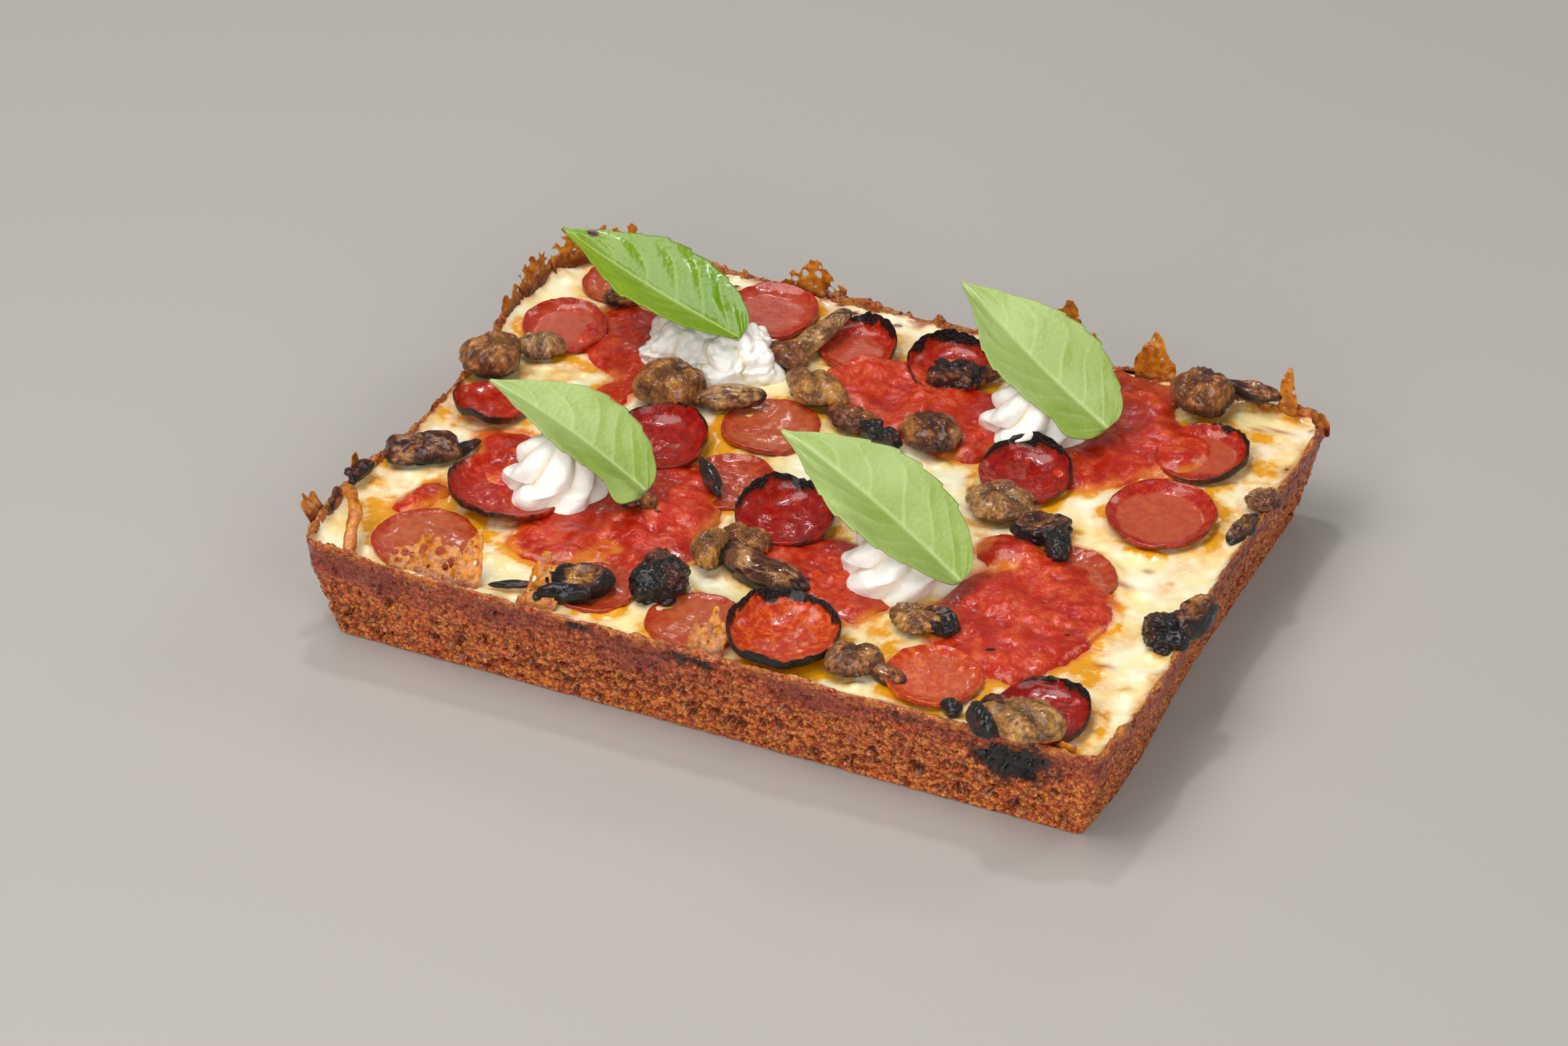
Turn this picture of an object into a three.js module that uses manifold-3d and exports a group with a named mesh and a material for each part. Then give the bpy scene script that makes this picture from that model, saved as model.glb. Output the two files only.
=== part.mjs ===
// Detroit-style pizza: a whole small pan pizza. A deep fried-looking crust with a lacy edge of
// browned cheese holds a melted cheese layer, and on it lie cup pepperoni, mushroom pieces,
// spoonfuls of tomato sauce, swirls of ricotta and basil leaves.
// Millimetres, +Z up. The origin is the centre of the base, on the surface it rests on.
// +X runs along the long side and -Y is the near long side.

import * as THREE from "three";
import { mergeVertices } from "three/addons/utils/BufferGeometryUtils.js";
import Module from "manifold-3d";

const wasm = await Module();
wasm.setup();

// ---------------------------------------------------------------- driving sizes
const rim_length = 244;
const rim_width = 185.5;
const rim_height = 33;
const rim_rough = 1.1;
const rim_thick = 3.2;
const wall_inset = 7.3;
const wall_rough = 0.7;
const foot_inset = 1.2;
const foot_height = 2.6;
const pocket_floor = 22;
const pocket_inset = 4.2;
const long_steps = 20;
const short_steps = 15;
const corner_steps = 3;

const cheese_level = 31;
const cheese_dip = 1.1;
const cheese_step = 11.5;
const cheese_clear = 0.6;

const gap = 0.3;
const weld = 1e-4;
const crumb_volume = 2;
const sliver = 0.04;

const pepperoni_thick = 1.8;
const pepperoni_sides = 11;
const pepperoni_shrink = 0.42;
const sauce_sides = 18;
const sauce_sink = 2;
const mushroom_sides = 8;
const leaf_thick = 0.6;
const leaf_rows = 10;
const leaf_columns = 4;
const flake_thick = 1.5;

// ---------------------------------------------------------------- small helpers
const degree = Math.PI / 180;
const full_turn = 2 * Math.PI;
const mix = (a, b, t) => a + (b - a) * t;

// A smooth uneven wave between about -1 and 1, never repeating within the pizza.
function uneven(a, b, seed) {
  const first = Math.sin(a + b * 0.7 + seed * 1.7);
  const second = Math.sin(b * 1.3 - a * 0.6 + seed * 2.9 + 1.1);
  const third = Math.sin(a * 1.9 - b * 1.6 + seed * 0.8 + 2.3);
  return (first + second + third) / 2.4;
}

// A fixed random number from 0 to 1 for a whole number and a seed.
function chance(index, seed) {
  const value = Math.sin(index * 127.1 + seed * 311.7 + 17.3) * 43758.5453;
  return value - Math.floor(value);
}

function solid_from(positions, triangles) {
  const mesh = new wasm.Mesh({
    numProp: 3,
    vertProperties: new Float32Array(positions),
    triVerts: new Uint32Array(triangles),
  });
  return new wasm.Manifold(mesh);
}

function solid_from_geometry(geometry) {
  geometry.deleteAttribute("normal");
  geometry.deleteAttribute("uv");
  const merged = mergeVertices(geometry, weld);
  return solid_from(merged.attributes.position.array, merged.index.array);
}

// The one largest body of a solid, without scraps.
function largest(solid) {
  const bodies = solid.decompose();
  return bodies.reduce((best, body) => (body.volume() > best.volume() ? body : best));
}

function join(solids) {
  return solids.reduce((whole, solid) => whole.add(solid));
}

// A closed skin of rings: place(ring, side) gives a point, and each end ring closes on one point.
function ringed_solid(rings, sides, place, bottom_point, top_point) {
  const positions = [...bottom_point];
  const triangles = [];
  const at = (ring, side) => 1 + ring * sides + (side % sides);
  for (let ring = 0; ring < rings; ring++) {
    for (let side = 0; side < sides; side++) positions.push(...place(ring, side));
  }
  positions.push(...top_point);
  const top = 1 + rings * sides;
  for (let side = 0; side < sides; side++) {
    triangles.push(0, at(0, side + 1), at(0, side));
    triangles.push(top, at(rings - 1, side), at(rings - 1, side + 1));
    for (let ring = 0; ring + 1 < rings; ring++) {
      triangles.push(at(ring, side), at(ring, side + 1), at(ring + 1, side + 1));
      triangles.push(at(ring, side), at(ring + 1, side + 1), at(ring + 1, side));
    }
  }
  return solid_from(positions, triangles);
}

// A closed slab from two point grids of the same size: the top faces up, the bottom down.
function slab_solid(rows, columns, top_point, bottom_point) {
  const positions = [];
  const triangles = [];
  const layer = (rows + 1) * (columns + 1);
  const at = (row, column) => row * (columns + 1) + column;
  for (const point of [top_point, bottom_point]) {
    for (let row = 0; row <= rows; row++) {
      for (let column = 0; column <= columns; column++) positions.push(...point(row, column));
    }
  }
  const quad = (a, b, c, d) => triangles.push(a, b, c, a, c, d);
  for (let row = 0; row < rows; row++) {
    for (let column = 0; column < columns; column++) {
      const [a, b] = [at(row, column), at(row, column + 1)];
      const [c, d] = [at(row + 1, column + 1), at(row + 1, column)];
      quad(a, b, c, d);
      triangles.push(layer + a, layer + c, layer + b, layer + a, layer + d, layer + c);
    }
  }
  for (let row = 0; row < rows; row++) {
    const [a, b] = [at(row, 0), at(row + 1, 0)];
    const [c, d] = [at(row, columns), at(row + 1, columns)];
    quad(a, b, layer + b, layer + a);
    quad(d, c, layer + c, layer + d);
  }
  for (let column = 0; column < columns; column++) {
    const [a, b] = [at(0, column), at(0, column + 1)];
    const [c, d] = [at(rows, column), at(rows, column + 1)];
    quad(b, a, layer + a, layer + b);
    quad(c, d, layer + d, layer + c);
  }
  return solid_from(positions, triangles);
}

// ---------------------------------------------------------------- crust
// Corners run counterclockwise from the near right one: side signs and rim radius.
const corners = [
  { x: 1, y: -1, radius: 4.5 },
  { x: 1, y: 1, radius: 7 },
  { x: -1, y: 1, radius: 24 },
  { x: -1, y: -1, radius: 5 },
];

// The short sides bow outwards: which side, the place along it, how far, and its spread.
const side_bows = [
  { side: -1, y: -60, out: 4.2, spread: 26 },
  { side: -1, y: 50, out: 4.4, spread: 22 },
  { side: 1, y: -55, out: 3.4, spread: 34 },
];

// The radius of a corner once the outline is inset from the rim.
function corner_radius(corner, inset) {
  return Math.max(2, corner.radius - inset * 0.5);
}

// How far a short side bows outwards at a place along it.
function bow_at(side, y) {
  const bows = side_bows.filter((bow) => bow.side === side);
  return bows.reduce((sum, bow) => sum + bow.out * Math.exp(-(((y - bow.y) / bow.spread) ** 2)), 0);
}

// The points of a rounded rectangle inset from the rim.
function rim_ring(inset) {
  const points = [];
  const half_length = rim_length / 2 - inset;
  const half_width = rim_width / 2 - inset;
  corners.forEach((corner, index) => {
    const next = corners[(index + 1) % 4];
    const radius = corner_radius(corner, inset);
    const next_radius = corner_radius(next, inset);
    const start = (index * 90 - 90) * degree;
    const center_x = corner.x * (half_length - radius);
    const center_y = corner.y * (half_width - radius);
    for (let step = 0; step <= corner_steps; step++) {
      const angle = start + (step / corner_steps) * 90 * degree;
      points.push([center_x + radius * Math.cos(angle), center_y + radius * Math.sin(angle)]);
    }
    const end_angle = start + 90 * degree;
    const [from_x, from_y] = points.at(-1);
    const to_x = next.x * (half_length - next_radius) + next_radius * Math.cos(end_angle);
    const to_y = next.y * (half_width - next_radius) + next_radius * Math.sin(end_angle);
    const steps = index % 2 === 0 ? short_steps : long_steps;
    for (let step = 1; step < steps; step++) {
      const t = step / steps;
      points.push([mix(from_x, to_x, t), mix(from_y, to_y, t)]);
    }
  });
  return points.map(([x, y]) => {
    const across = Math.abs(x) / half_length;
    const side = Math.sign(x);
    return [x + side * bow_at(side, y) * across ** 4, y];
  });
}

// The rim stands higher at the two left corners, where cheese has crept up the pan.
function rim_top(x, y) {
  const near_left = 2.4 * Math.exp(-(((x + 122) / 26) ** 2) - ((y + 92) / 30) ** 2);
  const far_left = 2.6 * Math.exp(-(((x + 122) / 30) ** 2) - ((y - 80) / 34) ** 2);
  const rough = rim_rough * uneven(x * 0.23, y * 0.23, 3);
  return rim_height + near_left + far_left + rough;
}

// From the base outwards, up the flared wall, over the rim and down into the pocket.
// rise is the share of the rim's height, or a fixed height where level is given.
const crust_rings = [
  { inset: wall_inset + foot_inset, level: 0, rough: 1.4 },
  { inset: wall_inset + 0.3, level: foot_height, rough: 1 },
  { inset: wall_inset * 0.42, rise: 0.6, rough: 1 },
  { inset: 0.3, rise: 0.955, rough: 0.7 },
  { inset: rim_thick * 0.45, rise: 1, rough: 0.3 },
  { inset: rim_thick, rise: 0.955, rough: 0.3, inside: true },
  { inset: pocket_inset, level: pocket_floor, rough: 0, inside: true },
];

function crust_shell(grow) {
  const rings = crust_rings.map((ring, index) => {
    const inset = ring.inset + (ring.inside ? grow : -grow);
    return rim_ring(inset).map(([x, y], place) => {
      const rough = wall_rough * ring.rough * uneven(place * 0.9, index * 1.7, 5);
      const length = Math.hypot(x, y);
      const top = (ring.rise ?? 0) * rim_top(x, y);
      const level = ring.level === undefined ? top : ring.level;
      const lift = ring.level === 0 ? -grow : grow;
      return [x * (1 + rough / length), y * (1 + rough / length), level + lift];
    });
  });
  const sides = rings[0].length;
  const place = (ring, side) => rings[ring][side];
  const base_point = [0, 0, -grow];
  const pocket_point = [0, 0, pocket_floor + grow];
  return ringed_solid(rings.length, sides, place, base_point, pocket_point);
}

// Flakes of crisp browned cheese that stand on the rim. x and y are the foot, turn is the
// direction of the foot's line, and lean tips the flake to the left of that line.
const flakes = [
  { x: -124, y: 46, turn: 92, wide: 13, high: 7.5, lean: 12, seed: 1 },
  { x: -123, y: 61, turn: 84, wide: 17, high: 10, lean: 12, seed: 2 },
  { x: -117.5, y: 75, turn: 58, wide: 15, high: 10, lean: 12, seed: 3 },
  { x: -108, y: 86, turn: 32, wide: 14, high: 12.5, lean: 6, seed: 4 },
  { x: -45, y: 91, turn: 2, wide: 20, high: 14, lean: 4, seed: 6 },
  { x: 38, y: 91, turn: 0, wide: 20, high: 19, lean: 4, seed: 8 },
  { x: 65.5, y: 91, turn: 0, wide: 13, high: 17, lean: 4, seed: 9 },
  { x: 108, y: 90.5, turn: 0, wide: 6, high: 15, lean: 0, seed: 10 },
  { x: 119, y: 88, turn: -30, wide: 8, high: 6, lean: 0, seed: 11 },
  { x: -126, y: -76, turn: 90, wide: 8, high: 11, lean: 34, seed: 12 },
  { x: -126, y: -51, turn: 90, wide: 5, high: 9, lean: 6, seed: 13 },
  { x: -82, y: -88.5, turn: 0, wide: 28, high: 17, lean: 52, seed: 14 },
  { x: -49, y: -88.5, turn: 0, wide: 14, high: 15, lean: 46, seed: 15 },
  { x: 3, y: -88.5, turn: 4, wide: 12, high: 17, lean: 56, seed: 16 },
  { x: 112, y: -90, turn: 0, wide: 6, high: 5, lean: 0, seed: 17 },
];
const flake_sink = 2.6;
const tooth_width = 7;

function flake_solid(flake, grow) {
  const half = flake.wide / 2;
  const teeth = Math.max(2, Math.round(flake.wide / tooth_width));
  const shape = new THREE.Shape();
  shape.moveTo(-half - grow, -flake_sink - grow);
  shape.lineTo(half + grow, -flake_sink - grow);
  for (let tooth = 0; tooth <= 2 * teeth; tooth++) {
    const across = 1 - tooth / teeth;
    const shoulder = 1 - 0.55 * Math.abs(across) ** 2.2;
    const bite = tooth % 2 === 1 ? 1 : 0.58 + 0.2 * chance(tooth, flake.seed);
    const high = flake.high * shoulder * bite * (0.82 + 0.18 * chance(tooth + 9, flake.seed));
    shape.lineTo(across * (half * 0.94 + grow), high + grow);
  }
  const thick = flake_thick + 2 * grow;
  const geometry = new THREE.ExtrudeGeometry(shape, { depth: thick, bevelEnabled: false });
  geometry.translate(0, 0, -thick / 2);
  geometry.rotateX((90 - flake.lean) * degree);
  geometry.rotateZ(flake.turn * degree);
  geometry.translate(flake.x, flake.y, rim_top(flake.x, flake.y) - 0.6);
  return solid_from_geometry(geometry);
}

// A strand of cheese that arches over the near left corner.
const strand_path = [
  [-125, -61, 32],
  [-120, -66, 38],
  [-113, -76, 39.5],
  [-108, -90, 33],
];
const strand_width = 3;
const strand_steps = 6;

function strand_solid(grow) {
  const points = strand_path.map((point) => new THREE.Vector3(...point));
  const half = strand_width / 2 + grow;
  const thin = flake_thick / 2 + grow;
  const section = new THREE.Shape();
  section.moveTo(-thin, -half);
  section.lineTo(thin, -half);
  section.lineTo(thin, half);
  section.lineTo(-thin, half);
  section.closePath();
  const extrudePath = new THREE.CatmullRomCurve3(points);
  const options = { steps: strand_steps, bevelEnabled: false, extrudePath };
  return solid_from_geometry(new THREE.ExtrudeGeometry(section, options));
}

function crust_solid(grow) {
  const edge = flakes.map((flake) => flake_solid(flake, grow));
  return join([crust_shell(grow), strand_solid(grow), ...edge]);
}

// ---------------------------------------------------------------- melted cheese
// The top dips unevenly below its highest level.
function cheese_top(x, y) {
  return cheese_level - cheese_dip * (0.5 + 0.5 * uneven(x * 0.09, y * 0.09, 11)) ** 2;
}

// Half the length of the pocket at a place along the short sides, on one side of the middle.
function pocket_reach(y, inset, side) {
  const corner = corners.find((each) => each.x === side && each.y === Math.sign(y || 1));
  const radius = corner_radius(corner, inset);
  const into_corner = Math.max(0, Math.abs(y) - (rim_width / 2 - inset - radius));
  const cut = radius - Math.sqrt(Math.max(0, radius ** 2 - into_corner ** 2));
  const reach = rim_length / 2 - inset - cut;
  return reach + bow_at(side, y) * (reach / (rim_length / 2 - inset)) ** 4;
}

// Rows of points from side to side of the pocket, closed underneath by a fan to one point.
function cheese_solid() {
  const columns = Math.round(rim_length / cheese_step);
  const rows = Math.round(rim_width / cheese_step);
  const inset = pocket_inset + cheese_clear;
  const bottom = pocket_floor + gap;
  const positions = [];
  const triangles = [];
  const at = (row, column) => row * (columns + 1) + column;
  for (let row = 0; row <= rows; row++) {
    const y = mix(-1, 1, row / rows) * (rim_width / 2 - inset);
    const [left, right] = [-pocket_reach(y, inset, -1), pocket_reach(y, inset, 1)];
    for (let column = 0; column <= columns; column++) {
      const x = mix(left, right, column / columns);
      positions.push(x, y, cheese_top(x, y));
    }
  }
  for (let row = 0; row < rows; row++) {
    for (let column = 0; column < columns; column++) {
      const [a, b] = [at(row, column), at(row, column + 1)];
      const [c, d] = [at(row + 1, column + 1), at(row + 1, column)];
      triangles.push(a, b, c, a, c, d);
    }
  }
  const edge = [];
  for (let column = 0; column < columns; column++) edge.push(at(0, column));
  for (let row = 0; row < rows; row++) edge.push(at(row, columns));
  for (let column = columns; column > 0; column--) edge.push(at(rows, column));
  for (let row = rows; row > 0; row--) edge.push(at(row, 0));
  const first_under = positions.length / 3;
  edge.forEach((top) => positions.push(positions[3 * top], positions[3 * top + 1], bottom));
  const middle = positions.length / 3;
  positions.push(0, 0, bottom);
  edge.forEach((top, index) => {
    const after = (index + 1) % edge.length;
    const [under, next] = [first_under + index, first_under + after];
    triangles.push(top, under, next, top, next, edge[after]);
    triangles.push(middle, next, under);
  });
  return solid_from(positions, triangles);
}

// The space that the toppings keep off: a flat block up to just over the cheese.
function cheese_clearance() {
  const high = cheese_level + gap - pocket_floor;
  const block = new THREE.BoxGeometry(rim_length, rim_width, high);
  block.translate(0, 0, pocket_floor + high / 2);
  return solid_from_geometry(block);
}

// ---------------------------------------------------------------- pepperoni
// r is the flat radius, rim the lift of the whole edge, curl the extra lift of the side that
// faces the direction toward (degrees), rise the height of the disc's middle over the cheese.
const pepperoni = [
  { x: 94.5, y: 24, r: 17, rim: 1.2, curl: 1.2, toward: 90, rise: 0.5 },
  { x: 94, y: 58.5, r: 15, rim: 1.2, curl: 2.2, toward: 50, rise: 0.4 },
  { x: 65, y: 84, r: 13, rim: 0.8, curl: 1.0, toward: 90, rise: 0.5 },
  { x: 9, y: 69.5, r: 14.5, rim: 2.4, curl: 4.2, toward: 120, rise: 0.4 },
  { x: -19.5, y: 68.5, r: 13, rim: 1.4, curl: 4.8, toward: 75, rise: 0.4 },
  { x: -52, y: 76, r: 15, rim: 0.8, curl: 0.6, toward: 60, rise: 0.3 },
  { x: -105, y: 43, r: 14, rim: 1.0, curl: 1.4, toward: 110, rise: 0.3 },
  { x: -100, y: 73, r: 13, rim: 0.6, curl: 0.4, toward: 180, rise: 0.4 },
  { x: -52.5, y: -1, r: 16, rim: 1.6, curl: 4.2, toward: 75, rise: 0.6 },
  { x: -27, y: 20.5, r: 15, rim: 0.7, curl: 0.8, toward: 300, rise: 0.3 },
  { x: -25, y: -10, r: 14, rim: 1.0, curl: 1.2, toward: 70, rise: 0.2 },
  { x: -3.2, y: -21.4, r: 16, rim: 2.2, curl: 4.4, toward: 110, rise: 0.6 },
  { x: -106, y: -5, r: 12.5, rim: 1.2, curl: 4.0, toward: 250, rise: 0.4 },
  { x: -82, y: -43, r: 18.5, rim: 1.4, curl: 4.4, toward: 245, rise: 0.6 },
  { x: -92, y: -73, r: 16, rim: 0.6, curl: 0.6, toward: 250, rise: 0.2 },
  { x: -5, y: -77, r: 14.5, rim: 0.6, curl: 0.8, toward: 60, rise: 0.2 },
  { x: 21, y: -75.5, r: 18.5, rim: 4.2, curl: 2.6, toward: 150, rise: 0.8 },
  { x: 66, y: -74.5, r: 14.5, rim: 1.2, curl: 0.8, toward: 220, rise: 0.4 },
  { x: 100.5, y: -78.5, r: 15, rim: 1.8, curl: 3.2, toward: 60, rise: 0.4 },
  { x: 51.4, y: 27.2, r: 15.2, rim: 1.8, curl: 4.8, toward: 92, rise: 0.6 },
  { x: 81, y: -14, r: 14.5, rim: 0.8, curl: 0.8, toward: 60, rise: 0.2 },
  { x: -38, y: -74, r: 12.5, rim: 0.6, curl: 0.4, toward: 300, rise: 0.2 },
];

// From the middle of the underside to the edge and back over the top: share of the radius,
// height from the disc's mid surface in thicknesses, and the way a swollen form moves sideways.
const pepperoni_profile = [
  { out: 0.6, up: -0.5, swell: 1 },
  { out: 0.96, up: -0.45, swell: 1 },
  { out: 1.0, up: 0.15, swell: 1 },
  { out: 0.93, up: 0.5, swell: -1 },
  { out: 0.62, up: 0.42, swell: -1 },
];

// A disc whose edge lifts with the fourth power of the distance from its middle. The lifted
// side is drawn in, as its curled edge stands up instead of lying flat.
function pepperoni_solid(disc, grow) {
  const middle = cheese_top(disc.x, disc.y) + disc.rise;
  const place = (ring, side) => {
    const { out, up, swell } = pepperoni_profile[ring];
    const angle = (side / pepperoni_sides) * full_turn;
    const facing = (0.5 + 0.5 * Math.cos(angle - disc.toward * degree)) ** 1.6;
    const lift = (disc.rim + disc.curl * facing) * out ** 4;
    const edge = 1 + 0.035 * uneven(angle * 2.1, disc.x, 7);
    const radius = out * disc.r * edge - pepperoni_shrink * lift + grow * swell;
    const height = middle + up * pepperoni_thick + lift + Math.sign(up) * grow;
    return [disc.x + radius * Math.cos(angle), disc.y + radius * Math.sin(angle), height];
  };
  const under = [disc.x, disc.y, middle - 0.5 * pepperoni_thick - grow];
  const over = [disc.x, disc.y, middle + 0.4 * pepperoni_thick + grow];
  return ringed_solid(pepperoni_profile.length, pepperoni_sides, place, under, over);
}

// ---------------------------------------------------------------- tomato sauce
// Each spoonful is a group of low mounds: x, y, half length, half width, turn, height over
// the cheese.
const sauce = [
  [
    [-90, 55, 12, 9, 20, 2.4],
    [-84, 42, 12, 13, -20, 2.8],
    [-93, 45, 9, 10, 0, 2.2],
  ],
  [
    [-16, 50, 13, 12, 0, 4.4],
    [0, 46, 15, 13, 0, 2.8],
    [15, 44, 14, 12, 0, 2.6],
    [29, 43, 13, 11, 0, 2.6],
    [23, 57, 14, 8, 0, 2.6],
  ],
  [
    [66, 72, 12, 12, 30, 3.6],
    [78, 60, 15, 11, -15, 3.2],
    [88, 56, 10, 12, 0, 2.8],
    [69, 47, 14, 13, 40, 2.8],
    [64, 35, 9, 8, 0, 2.4],
  ],
  [
    [-88, -12, 13, 9, 0, 2.6],
    [-70, -18, 15, 12, 0, 2.8],
    [-52, -22, 15, 13, 0, 2.8],
    [-36, -22, 13, 12, 0, 2.6],
    [-60, -40, 14, 12, 0, 2.8],
    [-42, -44, 15, 13, 0, 2.8],
    [-34, -56, 11, 8, 0, 2.5],
    [-58, -54, 12, 8, 0, 2.6],
  ],
  [
    [0, -34, 13, 9, 0, 2.4],
    [12, -42, 16, 11, 0, 2.6],
    [27, -46, 12, 10, 0, 2.6],
    [14, -29, 15, 8, 0, 2.6],
  ],
  [
    [62, -10, 12, 8, 0, 4.2],
    [78, -18, 13, 12, 0, 3.0],
    [88, -30, 12, 13, 0, 2.8],
    [70, -32, 17, 14, 0, 3.0],
    [84, -46, 13, 12, 0, 2.8],
    [66, -49, 15, 11, 0, 2.8],
    [72, -62, 12, 9, 0, 3.2],
  ],
];

// From the sunk underside to the middle: share of the outline, and of the height.
const sauce_profile = [
  { out: 0.96, up: -1 },
  { out: 1.0, up: 0.3 },
  { out: 0.86, up: 0.85 },
  { out: 0.5, up: 1 },
];

// How far a ray from the spoonful's middle runs before it leaves its last mound.
function sauce_reach(mounds, from_x, from_y, angle) {
  const reaches = mounds.map(([x, y, half_length, half_width, turn]) => {
    const spin = turn * degree;
    const turned = (a, b) => [
      (a * Math.cos(spin) + b * Math.sin(spin)) / half_length,
      (b * Math.cos(spin) - a * Math.sin(spin)) / half_width,
    ];
    const [start_x, start_y] = turned(from_x - x, from_y - y);
    const [step_x, step_y] = turned(Math.cos(angle), Math.sin(angle));
    const square = step_x ** 2 + step_y ** 2;
    const middle = start_x * step_x + start_y * step_y;
    const inside = middle ** 2 - square * (start_x ** 2 + start_y ** 2 - 1);
    return inside > 0 ? (Math.sqrt(inside) - middle) / square : 0;
  });
  return Math.max(...reaches);
}

// The height of the highest mound at a place, rounded off towards each mound's edge.
function sauce_rise(mounds, place_x, place_y) {
  const heights = mounds.map(([x, y, half_length, half_width, , rise]) => {
    const distance = Math.hypot((place_x - x) / half_length, (place_y - y) / half_width);
    return rise * (1 - 0.45 * Math.min(1, distance) ** 2);
  });
  return Math.max(...heights);
}

function sauce_solid(mounds, grow) {
  const middle_x = mounds.reduce((sum, mound) => sum + mound[0], 0) / mounds.length;
  const middle_y = mounds.reduce((sum, mound) => sum + mound[1], 0) / mounds.length;
  const place = (ring, side) => {
    const { out, up } = sauce_profile[ring];
    const angle = (side / sauce_sides) * full_turn;
    const reach = sauce_reach(mounds, middle_x, middle_y, angle) * out + grow;
    const x = middle_x + reach * Math.cos(angle);
    const y = middle_y + reach * Math.sin(angle);
    const high = up > 0 ? up * sauce_rise(mounds, x, y) : up * sauce_sink;
    return [x, y, cheese_level + high + Math.sign(up) * grow];
  };
  const under = [middle_x, middle_y, cheese_level - sauce_sink - grow];
  const high = sauce_rise(mounds, middle_x, middle_y);
  const over = [middle_x, middle_y, cheese_level + high + grow];
  return ringed_solid(sauce_profile.length, sauce_sides, place, under, over);
}

// ---------------------------------------------------------------- mushrooms
// Each piece is one to three lobes: x, y, height of the middle over the cheese, then length,
// width and height, and the turn and tilt of its length in degrees.
const mushrooms = [
  {
    color: 0x7a4d2b,
    lobes: [
      [-59, 20, 6, 21, 17, 16, 0, 0],
      [-43, 25, 4.4, 22, 7, 6, 26, 4],
    ],
  },
  { color: 0xa87432, lobes: [[-20.5, 39, 4.6, 18, 12, 10, -16, 0]] },
  {
    color: 0x8a6c4c,
    lobes: [
      [-31.5, 64.5, 5, 25, 7, 5.5, 70, 10],
      [-36, 53, 3.5, 13, 9, 8, -20, 0],
    ],
  },
  { color: 0x4d3425, lobes: [[-1.5, 29, 3, 26, 8.5, 6, -17, 0]] },
  { color: 0x70482a, lobes: [[19, 32.5, 4.4, 19, 14, 10, -25, 0]] },
  {
    color: 0x33231b,
    lobes: [
      [13, 63.5, 3.8, 16, 10, 8, 10, 0],
      [20, 69.5, 4, 12, 4, 4, 50, 0],
    ],
  },
  { color: 0xa88a60, lobes: [[50.5, 9, 3.6, 21, 17, 8, 30, 0]] },
  {
    color: 0x3d2a1f,
    lobes: [
      [66.5, 2.5, 3.8, 17, 10, 8, 40, 0],
      [72.5, -2.5, 3.2, 12, 8, 6, -60, 0],
    ],
  },
  {
    color: 0x6d4a31,
    lobes: [
      [84.5, 81.5, 6.4, 20, 15, 14, -20, 0],
      [97, 89.3, 6.6, 19, 5.5, 5, 4, 0],
    ],
  },
  { color: 0x6f6152, lobes: [[118.5, 42, 3.4, 10, 9, 6, 60, 0]] },
  { color: 0x564a3e, lobes: [[118, 27, 2.6, 14, 6.5, 5.5, 80, 0]] },
  {
    color: 0x2b221c,
    lobes: [
      [118.5, -29.5, 3.2, 13, 15, 8, 20, 0],
      [123.5, -23, 5.4, 16, 8, 10, 66, 0],
    ],
  },
  { color: 0x94662f, lobes: [[53.5, -53.5, 4, 20, 11, 8, 10, 0]] },
  {
    color: 0x5c3b24,
    lobes: [
      [44.5, -80.5, 3.6, 17, 12, 8, 20, 0],
      [54, -80, 3, 12, 5, 5, -10, 0],
    ],
  },
  {
    color: 0xa5742f,
    lobes: [
      [98.5, -89.5, 6.4, 24, 18, 12, 8, 0],
      [89, -90, 5.4, 13, 14, 11, 40, 0],
    ],
  },
  {
    color: 0x8a5f35,
    lobes: [
      [-13, -48.5, 4.8, 10, 13, 11, 0, 0],
      [2.5, -49, 3.8, 25, 9, 7, -4, 0],
    ],
  },
  { color: 0x8c3a22, lobes: [[-9, -33.5, 3.6, 16, 9, 8, -10, 0]] },
  {
    color: 0x33241b,
    lobes: [
      [-20.5, -68, 4.2, 18, 12, 9, 50, 0],
      [-20, -63, 4, 13, 9, 7, -10, 0],
    ],
  },
  { color: 0x2c211b, lobes: [[-46, -80, 3.8, 17, 13, 8, 40, 0]] },
  { color: 0x4e4330, lobes: [[-112, -35.5, 3.6, 25, 12, 9, 32, 0]] },
  { color: 0x6b4426, lobes: [[-113.5, 13, 5.6, 19, 15, 14, 20, 0]] },
  { color: 0x7c6a53, lobes: [[-106, 28.5, 3.4, 14, 10, 8, 20, 0]] },
];

// An egg shape with a wrinkled skin, flattened underneath.
const lobe_rings = 3;
const lobe_wrinkle = 0.11;

function lobe_solid([x, y, up, length, width, height, turn, tilt], grow) {
  const middle = cheese_top(x, y) + up;
  const place_point = (along, across, above) => {
    const lifted = along * Math.sin(tilt * degree) + above;
    const flat = along * Math.cos(tilt * degree);
    return [
      x + flat * Math.cos(turn * degree) - across * Math.sin(turn * degree),
      y + flat * Math.sin(turn * degree) + across * Math.cos(turn * degree),
      middle + lifted,
    ];
  };
  const place = (ring, side) => {
    const rise = (((ring + 1) / (lobe_rings + 1)) * 180 - 90) * degree;
    const angle = (side / mushroom_sides) * full_turn;
    const skin = 1 + lobe_wrinkle * uneven(angle * 2, rise * 2 + x, 17);
    const out = Math.cos(rise) ** 0.8 * skin;
    const along = (length / 2 + grow) * out * Math.cos(angle);
    const across = (width / 2 + grow) * out * Math.sin(angle);
    const above = (height / 2 + grow) * Math.sin(rise) * skin;
    return place_point(along, across, above);
  };
  const under = place_point(0, 0, -height / 2 - grow);
  const over = place_point(0, 0, height / 2 + grow);
  return ringed_solid(lobe_rings, mushroom_sides, place, under, over);
}

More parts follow.
